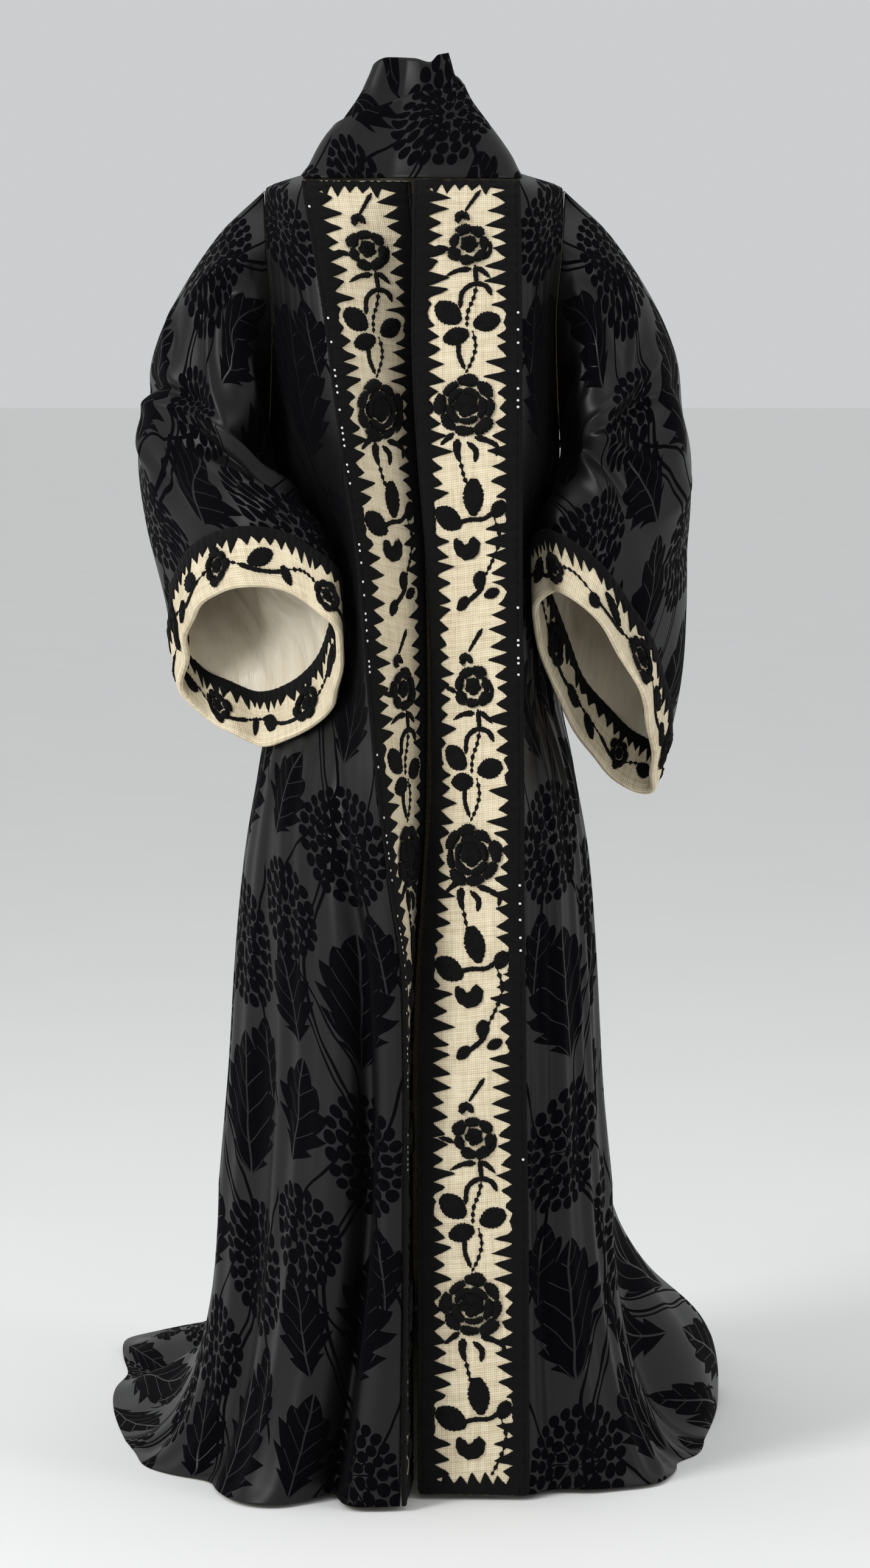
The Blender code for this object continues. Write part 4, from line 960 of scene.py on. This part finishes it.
def layLeaf(bm, place, across, down, angle, length, width, seed=0.0):
    c, s = math.cos(math.radians(angle)), math.sin(math.radians(angle))

    def shape(x, y):
        t = (x + 1) / 2
        half = width / 2 * np.sin(np.pi * (0.07 + 0.89 * t)) ** 0.72
        along = (t - 0.5) * length
        side = y * (half + tufts(t, seed + np.sign(y)))
        rows = pile["cord"] * np.cos(2 * math.pi * (side + 0.3 * np.abs(along)) / pile["row"])
        crown = np.sqrt(np.clip(1 - 0.95 * y * y, 0, 1)) * np.sin(np.pi * (0.10 + 0.80 * t)) ** 0.4
        vein = 1 - 0.30 * np.exp(-(y / 0.14) ** 2)
        height = pile["leafRise"] * crown * vein + rows
        return across + along * c - side * s, down + along * s + side * c, np.maximum(height, pile["least"])
    layPatch(bm, 30, 8, shape, place)


def layPetal(bm, place, across, down, inner, outer, start, sweep, rise, seed=0.0):
    start, sweep = math.radians(start), math.radians(sweep)

    def shape(x, y):
        t = (x + 1) / 2
        half = (outer - inner) / 2 * np.sin(np.pi * (0.06 + 0.88 * t)) ** 0.55
        half = half * (1 + 0.12 * np.sin(7 * t + seed))
        radius = (inner + outer) / 2 + y * (half + tufts(t, seed + np.sign(y)))
        turn = start + sweep * t
        rows = pile["cord"] * np.cos(2 * math.pi * (radius - inner) / pile["row"])
        height = np.maximum(rise * np.sqrt(np.clip(1 - 0.92 * y * y, 0, 1)) + rows, pile["least"])
        return across + radius * np.cos(turn), down + radius * np.sin(turn), height
    layPatch(bm, 26, 6, shape, place)


def layRose(bm, place, across, down, size, twist=0.0):
    def heart(x, y):
        radius = (x + 1) / 2
        turn = y * math.pi
        swirl = np.sin(turn + 2 * math.pi * 0.62 * size * radius / pile["row"] + twist)
        height = pile["roseRise"] * np.sqrt(np.clip(1 - 0.9 * radius ** 4, 0, 1)) * (0.82 + 0.18 * swirl)
        edge = pile["heart"] * size + 0.03 * size * np.sin(5 * turn + twist) + tufts(y / 2, twist)
        reach = edge * radius
        return across + reach * np.cos(turn), down - 0.05 * size + reach * np.sin(turn), height
    layPatch(bm, 10, 40, heart, place)
    # petals stand in rings, with slits of canvas between them
    for count, inner, outer in pile["smallRings" if size < pile["fullRose"] else "fullRings"]:
        for i in range(count):
            reach = 1 + 0.09 * math.sin(2.4 * i + 3 * twist + count)
            start = 360 * (i + 0.4 * twist) / count
            rise = pile["roseRise"] * (0.84 + 0.12 * math.sin(1.9 * i))
            layPetal(bm, place, across, down, inner * size, outer * reach * size, start, 350 / count, rise,
                     1.7 * i + twist)


def layCord(bm, place, knots, thick, end=None, chain=False):    # end: thickness at the far end
    knots = np.array(knots, float)
    length = np.concatenate([[0], np.cumsum(np.hypot(*np.diff(knots, axis=0).T))])
    count = max(8, int(length[-1] / 0.0016))
    t = np.linspace(0, length[-1], count + 1)
    path = [alongRings(length, list(knots[:, k][:, None] + 0 * t[None, :]), t) for k in (0, 1)]
    lead = unit(np.gradient(np.stack(path, axis=-1), axis=0), 1e-9)
    girth = np.linspace(thick, thick if end is None else end, count + 1)
    if chain:
        girth = girth * (0.62 + 0.38 * np.cos(2 * math.pi * t / 0.0075))
    girth = girth * np.clip(np.minimum(np.arange(count + 1), count - np.arange(count + 1)) / 2, 0.35, 1)

    def shape(x, y):
        i = np.clip(np.rint((x + 1) / 2 * count).astype(int), 0, count)
        turn = y * math.pi / 2
        half = girth[i] / 2 + 0.5 * tufts(t[i] * 25, 0.7)
        across = path[0][i] - lead[i, 1] * half * np.sin(turn)
        down = path[1][i] + lead[i, 0] * half * np.sin(turn)
        return across, down, pile["least"] + half * 0.9 * np.cos(turn)
    layPatch(bm, count, 6, shape, place)


def layTeeth(bm, place, start, end, edge, into, style, seed, along, free=None):
    rng = np.random.default_rng(seed)
    count = max(2, int(round((end - start) / style["pitch"])))
    reaches = style["reach"] * rng.uniform(0.55, 1.35, count)
    tips = 0.5 + rng.uniform(-0.28, 0.28, count)
    sharp = rng.uniform(0.85, 1.35, count)

    def shape(x, y):
        s = (x + 1) / 2 * count
        tooth = np.clip(np.floor(s).astype(int), 0, count - 1)
        f = s - tooth
        spike = np.where(f < tips[tooth], f / tips[tooth], (1 - f) / (1 - tips[tooth]))
        run = start + (end - start) * s / count
        longest = reaches[tooth] if free is None else np.minimum(reaches[tooth], free(run))
        spike = np.clip(spike, 0, 1) ** sharp[tooth]
        deep = style["border"] + np.maximum(longest, 0.0015) * spike + 0.6 * tufts(s / 5, seed)
        t = (y + 1) / 2
        crown = np.sqrt(np.clip(1 - 0.88 * (2 * t - 1) ** 4, 0, 1))
        height = pile["toothRise"] * crown + 0.0003 * np.cos(9 * s)
        across = edge + into * deep * t
        return (across, run, height) if along == "down" else (run, across, height)
    layPatch(bm, count * 10, 6, shape, place)


def chenillePiece(name, bm, flip, nodes):
    bmesh.ops.remove_doubles(bm, verts=bm.verts, dist=1e-6)
    if flip:
        bmesh.ops.reverse_faces(bm, faces=bm.faces)
    piece = finished(bm, bpy.data.meshes.new(name), finishes["chenille"])
    addWall(piece, pile["backing"], -1.0)
    sewOn(piece, "chenille", *nodes)
    print(name, len(piece.data.polygons), "faces")


bandStyle = {"border": 0.0140, "reach": 0.0190, "pitch": 0.0150, "cord": 0.0044, "cordKnots": 24,
             "repeat": 0.456, "repeats": 3}
endStyle = {"border": 0.0100, "reach": 0.0110, "pitch": 0.0125, "neckInset": 0.001, "hemInset": 0.008,
            "overhang": 0.0018, "hemClear": 0.0005}
# one repeat of the vine: kind, down, off the centre towards the viewer's right, angle, length, width
vine = (
    ("hook", 0.048, -0.004, 130, 0.0085, 0.0),
    ("rose", 0.076, 0.002, 0, 0.0225, 0.0),
    ("leaf", 0.148, -0.019, 40, 0.031, 0.024),
    ("leaf", 0.158, 0.020, 158, 0.028, 0.021),
    ("leaf", 0.174, -0.011, 168, 0.027, 0.019),
    ("rose", 0.246, 0.000, 0, 0.0310, 0.0),
    ("leaf", 0.338, 0.006, 84, 0.038, 0.022),
    ("leaf", 0.362, -0.022, 30, 0.034, 0.024),
    ("leaf", 0.352, 0.032, 118, 0.020, 0.015),
    ("hook", 0.385, -0.003, -40, 0.0165, 0.0),
    ("leaf", 0.422, 0.012, 100, 0.019, 0.014),
    ("leaf", 0.437, 0.024, 150, 0.017, 0.011),
    ("leaf", 0.448, -0.008, 130, 0.018, 0.012),
)
# sepals and stems: thickness at each end, chain stitch or not, points off the centre and down
stems = (
    (0.0050, 0.0030, False, ((0.014, 0.016), (0.006, 0.028), (-0.002, 0.040))),
    (0.0064, 0.0034, False, ((-0.018, 0.082), (-0.026, 0.079), (-0.034, 0.078))),
    (0.0064, 0.0030, False, ((0.016, 0.092), (0.023, 0.084), (0.024, 0.072))),
    (0.0070, 0.0030, False, ((0.004, 0.102), (-0.010, 0.104), (-0.022, 0.110))),
    (0.0070, 0.0030, False, ((0.010, 0.100), (0.018, 0.106), (0.024, 0.112))),
    (0.0050, 0.0050, False, ((0.008, 0.098), (0.009, 0.110), (0.010, 0.118))),
    (0.0056, 0.0048, False, ((0.025, 0.130), (0.020, 0.121), (0.008, 0.118), (-0.004, 0.126),
                             (-0.007, 0.144))),
    (0.0050, 0.0046, True, ((0.010, 0.118), (0.007, 0.132), (0.001, 0.148), (0.000, 0.164))),
    (0.0050, 0.0046, False, ((-0.008, 0.178), (-0.008, 0.192), (-0.002, 0.208))),
    (0.0050, 0.0044, True, ((0.006, 0.168), (0.009, 0.184), (0.005, 0.200), (-0.001, 0.212))),
    (0.0072, 0.0034, False, ((-0.014, 0.274), (-0.023, 0.281), (-0.029, 0.286))),
    (0.0068, 0.0040, False, ((0.008, 0.278), (0.020, 0.281), (0.031, 0.288), (0.030, 0.297))),
    (0.0100, 0.0050, False, ((-0.010, 0.280), (-0.011, 0.292), (-0.008, 0.303))),
    (0.0060, 0.0058, False, ((0.000, 0.283), (0.009, 0.292), (0.008, 0.303))),
    (0.0052, 0.0048, True, ((-0.008, 0.300), (-0.004, 0.318), (0.004, 0.338), (0.004, 0.352))),
    (0.0050, 0.0046, False, ((-0.014, 0.366), (0.000, 0.362), (0.018, 0.360), (0.030, 0.350))),
    (0.0050, 0.0046, True, ((0.028, 0.360), (0.033, 0.380), (0.026, 0.402), (0.018, 0.418))),
    (0.0054, 0.0050, False, ((0.016, 0.414), (0.014, 0.430), (0.002, 0.442), (-0.012, 0.452))),
)


def bandSpace(side):    # the vine runs the same way on both bands, so one of them is turned over
    place = onBand(side)
    if side == "left":
        return place
    return lambda across, down, height: place(cut["bandWidth"] - across, down, height)


def roomForTooth(edge, run):
    room = np.full_like(run, 1.0)
    for repeat in range(bandStyle["repeats"]):
        for kind, down, off, angle, length, width in vine:
            if kind == "hook":
                continue
            size = 0.002 + (length if kind == "rose" else 0.55 * length)
            away = np.abs(run - down - repeat * bandStyle["repeat"])
            chord = np.sqrt(np.maximum(size ** 2 - away ** 2, 0))
            reach = abs(cut["bandWidth"] / 2 + off - edge) - chord - bandStyle["border"]
            room = np.where(away < size, np.minimum(room, reach), room)
    return room


def makeBandWork(side):
    place = bandSpace(side)
    wide, bottom = cut["bandWidth"], bandFaces[side][2][-1]
    borders = bmesh.new()
    for edge, into, seed in ((0.0, 1.0, 3), (wide, -1.0, 5)):
        layTeeth(borders, place, 0.0, bottom, edge, into, bandStyle, seed + 4 * (side == "left"), "down",
                 lambda run: roomForTooth(edge, run))
        hem = [(edge - 0.0004 * into, down) for down in np.linspace(0.0, bottom, bandStyle["cordKnots"])]
        layCord(borders, place, hem, bandStyle["cord"])     # bound edge
    neck, hem = endStyle["neckInset"], endStyle["hemInset"]
    layTeeth(borders, place, neck, wide - neck, -endStyle["overhang"], 1.0, endStyle, 7, "over")
    layTeeth(borders, place, hem, wide - hem, bottom - endStyle["hemClear"], -1.0, endStyle, 8, "over")
    ends = ("inner", "outer", "neck", "hem")
    chenillePiece("borders" + side.title(), borders, True, ["border_%s_%s" % (side, end) for end in ends])
    work = bmesh.new()
    rng = np.random.default_rng(31 + (side == "left"))
    for repeat in range(bandStyle["repeats"]):
        top = repeat * bandStyle["repeat"]
        for kind, down, off, angle, length, width in vine:
            across = wide / 2 + off + rng.uniform(-0.001, 0.001)
            down, angle = top + down + rng.uniform(-0.0015, 0.0015), angle + rng.uniform(-8, 8)
            if down + length > bottom - endStyle["border"]:
                continue
            if kind == "rose":
                layRose(work, place, across, down, length, rng.uniform(-1, 1))
            elif kind == "hook":
                layPetal(work, place, across, down, 0.05 * length, length, angle, 250, pile["leafRise"])
            else:
                layLeaf(work, place, across, down, angle, length, width, rng.uniform(0, 6))
        for thick, end, chain, knots in stems:
            if top + knots[-1][1] < bottom - endStyle["border"]:
                layCord(work, place, [(wide / 2 + a, top + d) for a, d in knots], thick, end, chain)
    names = ["%s_%s_%d" % (kind, side, i + 1) for kind in ("rose", "leaves") for i in range(6)]
    chenillePiece("vine" + side.title(), work, True, names)


cuffStyle = {"border": 0.0115, "reach": 0.0125, "pitch": 0.0130, "overhang": 0.0014, "innerTurn": 20.0,
             "stemDown": 0.036, "stem": 0.0048, "stemEnd": 0.0040}
# the vine round a cuff: kind, degrees from the outer side, down from the free edge, angle, length, width
cuffVine = (
    ("rose", 75, 0.034, 0, 0.0180, 0.0), ("leaf", 50, 0.030, 20, 0.028, 0.018),
    ("leaf", 102, 0.030, -25, 0.028, 0.018), ("rose", 15, 0.034, 0, 0.0180, 0.0),
    ("leaf", 34, 0.042, 120, 0.020, 0.013), ("leaf", 118, 0.043, 50, 0.020, 0.013),
    ("rose", 150, 0.036, 0, 0.0150, 0.0), ("leaf", 178, 0.034, 30, 0.028, 0.018),
    ("rose", 215, 0.034, 0, 0.0180, 0.0), ("leaf", 244, 0.036, -30, 0.028, 0.018),
    ("leaf", 262, 0.040, 60, 0.024, 0.015), ("rose", 290, 0.034, 0, 0.0170, 0.0),
    ("leaf", 318, 0.036, 10, 0.028, 0.018), ("leaf", 338, 0.040, 130, 0.022, 0.014),
)


def makeCuffWork(side):
    for face in ("outer", "inner"):
        place, girth = onCuff(side, face)
        borders = bmesh.new()
        layTeeth(borders, place, -0.4999 * girth, 0.4999 * girth, -cuffStyle["overhang"], 1.0, cuffStyle,
                 11 + (side == "left"), "over")
        flip = (side == "right") == (face == "outer")
        chenillePiece("cuffBorder%s%s" % (side.title(), face.title()), borders, flip,
                      ["cuff_border_%s_%s" % (side, face)])
        work = bmesh.new()
        shift = 0.0 if face == "outer" else cuffStyle["innerTurn"]
        for kind, angle, down, turn, length, width in cuffVine:
            across = (angle + shift) / 360 * girth
            if kind == "rose":
                layRose(work, place, across, down, length, 0.02 * angle)
            else:
                layLeaf(work, place, across, down, turn, length, width, 0.1 * angle)
        for angle in range(0, 360, 30):
            start, step = (angle + shift) / 360 * girth, girth / 36
            dip = 0.008 if angle % 60 else -0.006
            knots = [(start + k * step, cuffStyle["stemDown"] + dip * math.sin(k * math.pi / 3))
                     for k in range(4)]
            layCord(work, place, knots, cuffStyle["stem"], cuffStyle["stemEnd"], angle % 60 == 0)
        nodes = ["cuff_rose_%s_%d" % (side, i + 1) for i in range(2)] if face == "outer" else []
        chenillePiece("cuffVine%s%s" % (side.title(), face.title()), work, flip, nodes)


# collar wound round the neck

# slant: slant length of the cone over its radius, which opens the collar out flat
# opensAt and figureAt: sweep and place on the flat cloth that centre an umbel at the front
collarStyle = {"sweep": 540.0, "start": 70.0, "layer": 0.0055, "columns": 300, "rows": 34,
               "wrinkle": 0.0012, "slant": 2.41, "opensAt": 430.0, "figureAt": (0.096, -0.090)}
collarCone = columns("height share", (0.000, 1.00), (0.012, 0.93), (0.028, 0.85), (0.060, 0.66),
                     (0.095, 0.45), (0.135, 0.32))
collarEdge = columns("sweep top", (0, 0.134), (28, 0.131), (44, 0.123), (70, 0.127), (110, 0.128),
                     (150, 0.114), (190, 0.116), (250, 0.124), (320, 0.112), (370, 0.098), (430, 0.090),
                     (465, 0.076), (495, 0.056), (540, 0.040))


def neckline():
    across = np.linspace(0, 2, 60)
    behind = backPoint(np.linspace(0, 1, 80), 0.0)
    ends = [frontPoint(side, across, 0.0) for side in ("right", "left")]
    ring = np.concatenate([ends[0], behind, ends[1]])
    angle = np.degrees(np.arctan2(ring[:, 0], -ring[:, 1]))
    order = np.argsort(angle)
    even = np.arange(-180.0, 180.0)
    radius = np.interp(even, angle[order], np.hypot(ring[:, 0], ring[:, 1])[order], period=360)
    height = np.interp(even, angle[order], ring[order, 2], period=360)
    return even, sum(np.roll(radius, k) for k in range(-12, 13)) / 25, height


def makeCollar():
    angles, radii, heights = neckline()
    sweep = np.linspace(0, collarStyle["sweep"], collarStyle["columns"])
    turn = np.mod(collarStyle["start"] - sweep + 180, 360) - 180
    base = np.interp(turn, angles, radii, period=360)
    foot = np.interp(turn, angles, heights, period=360) + 3.5 * cut["seam"]
    top = smoothTrack(collarEdge["sweep"], collarEdge["top"], sweep)
    opened = np.radians(sweep - collarStyle["opensAt"]) / collarStyle["slant"]
    rows, flatRows = [], []
    for share in np.linspace(0, 1, collarStyle["rows"]):
        z = foot + (top - foot) * share
        lean = smoothTrack(collarCone["height"], collarCone["share"], np.maximum(z, 0))
        radius = base * lean + collarStyle["layer"] * sweep / 360
        fade = ease(share / 0.2) * ease((1 - share) / 0.2)
        radius = radius + collarStyle["wrinkle"] * np.sin(sweep / 14 + 5 * share) * fade
        x = radius * np.sin(np.radians(turn))
        rows.append(np.stack([x, -radius * np.cos(np.radians(turn)), z], axis=-1))
        slant = radius * collarStyle["slant"]
        flatRows.append(np.stack([slant * np.sin(opened), slant * np.cos(opened)], axis=-1))
    points = np.stack(rows)
    piece = clothPanel("collarWrap", points, [finishes["silk"]], cut["cloth"], False, 1.0,
                       uv=np.stack(flatRows) + collarStyle["figureAt"])
    sewSheet(piece, points, "velvet", "collar")


# sequins along the outer edges of the bands

sequinStyle = {"radius": 0.0015, "thick": 0.0010, "pitch": 0.0060, "from": 0.012, "until": 1.02,
               "inset": 0.0020, "lift": 0.0018, "gap": {"left": 0.90, "right": 0.55}}


def makeSequins(side):
    place = onBand(side)
    rng = np.random.default_rng(21 + (side == "left"))
    bm = bmesh.new()
    radius, down, count = sequinStyle["radius"], sequinStyle["from"], 0
    while down < sequinStyle["until"]:
        down += sequinStyle["pitch"] * rng.uniform(0.8, 1.2)
        if rng.random() < sequinStyle["gap"][side] + 0.25 * math.sin(23 * down):
            continue
        made = bmesh.ops.create_uvsphere(bm, u_segments=8, v_segments=5, radius=1.0)["verts"]
        spot = np.array([vert.co for vert in made])
        across = cut["bandWidth"] - sequinStyle["inset"] + spot[:, 0] * radius
        height = sequinStyle["lift"] + (spot[:, 2] + 1) * sequinStyle["thick"] / 2
        for vert, where in zip(made, place(across, down + spot[:, 1] * radius, height)):
            vert.co = where
        count += 1
    bmesh.ops.recalc_face_normals(bm, faces=bm.faces)
    piece = finished(bm, bpy.data.meshes.new("sequins" + side.title()), finishes["sequin"])
    sewOn(piece, "satin")
    print(piece.name, count)


makeBack()
for side in sign:
    makeFront(side)
    makeSleeve(side)
    makeBand(side)
    makeBandWork(side)
    makeCuffWork(side)
    makeSequins(side)
makeCollar()
print("coat dressed")


# studio: plain pale floor, open on all sides, soft light, camera at the photograph's angle

studio = {
    "paper": (0.90, 0.90, 0.895), "reach": 60.0,
    "cameraPlace": (0.0217, -4.8, -0.15), "pitch": 2.92, "drop": -0.145,
    "sensor": 36.0, "zoom": 7485 / 2576,
    "worldColour": (0.92, 0.93, 0.94, 1.0), "worldStrength": 0.66,
    # lamps: place, aim, power and size
    "lamps": {
        "keySoftbox": ((-2.6, -2.2, 1.3), (0, 0, -0.5), 84, (1.0, 2.2)),
        "fillSoftbox": ((2.9, -1.7, 0.8), (0, 0, -0.6), 20, (0.8, 2.4)),
        "overheadSoftbox": ((0, 0.4, 2.6), (0, 0, -0.6), 12, (2.4, 1.6)),
    },
}


def makeStudio():
    bm = bmesh.new()
    bmesh.ops.create_grid(bm, x_segments=8, y_segments=8, size=studio["reach"])
    bmesh.ops.translate(bm, verts=bm.verts, vec=(0.0, 0.0, cut["floor"]))
    shade = Shade("paper")
    place = shade.node("ShaderNodeTexCoord", {}, {}, 3)
    colour = shade.shades(shade.noise(place, 3.0), studio["paper"], 0.98, 1.02)
    paper = shade.surface(Base_Color=colour, Roughness=0.9)
    finished(bm, bpy.data.meshes.new("paperFloor"), paper)


def addLamp(name, place, aim, power, size):
    data = bpy.data.lights.new(name, "AREA")
    data.energy = power
    data.shape = "RECTANGLE"
    data.size, data.size_y = size
    lamp = bpy.data.objects.new(name, data)
    lamp.location = place
    lamp.rotation_euler = (lamp.location - Vector(aim)).to_track_quat("Z", "Y").to_euler()
    bpy.context.scene.collection.objects.link(lamp)


def addCamera():
    data = bpy.data.cameras.new("camera")
    data.sensor_fit = "VERTICAL"
    data.sensor_height = studio["sensor"]
    data.lens = studio["sensor"] * studio["zoom"]
    data.shift_y = studio["drop"]
    camera = bpy.data.objects.new("camera", data)
    camera.location = studio["cameraPlace"]
    camera.rotation_euler = (math.radians(90 - studio["pitch"]), 0.0, 0.0)
    bpy.context.scene.collection.objects.link(camera)
    bpy.context.scene.camera = camera


makeStudio()
for name, lamp in studio["lamps"].items():
    addLamp(name, *lamp)
world = bpy.data.worlds.new("studio")
world.use_nodes = True
background = world.node_tree.nodes["Background"].inputs
background["Color"].default_value = studio["worldColour"]
background["Strength"].default_value = studio["worldStrength"]
bpy.context.scene.world = world
bpy.context.scene.view_settings.view_transform = "Standard"
addCamera()
print("studio and camera ready")
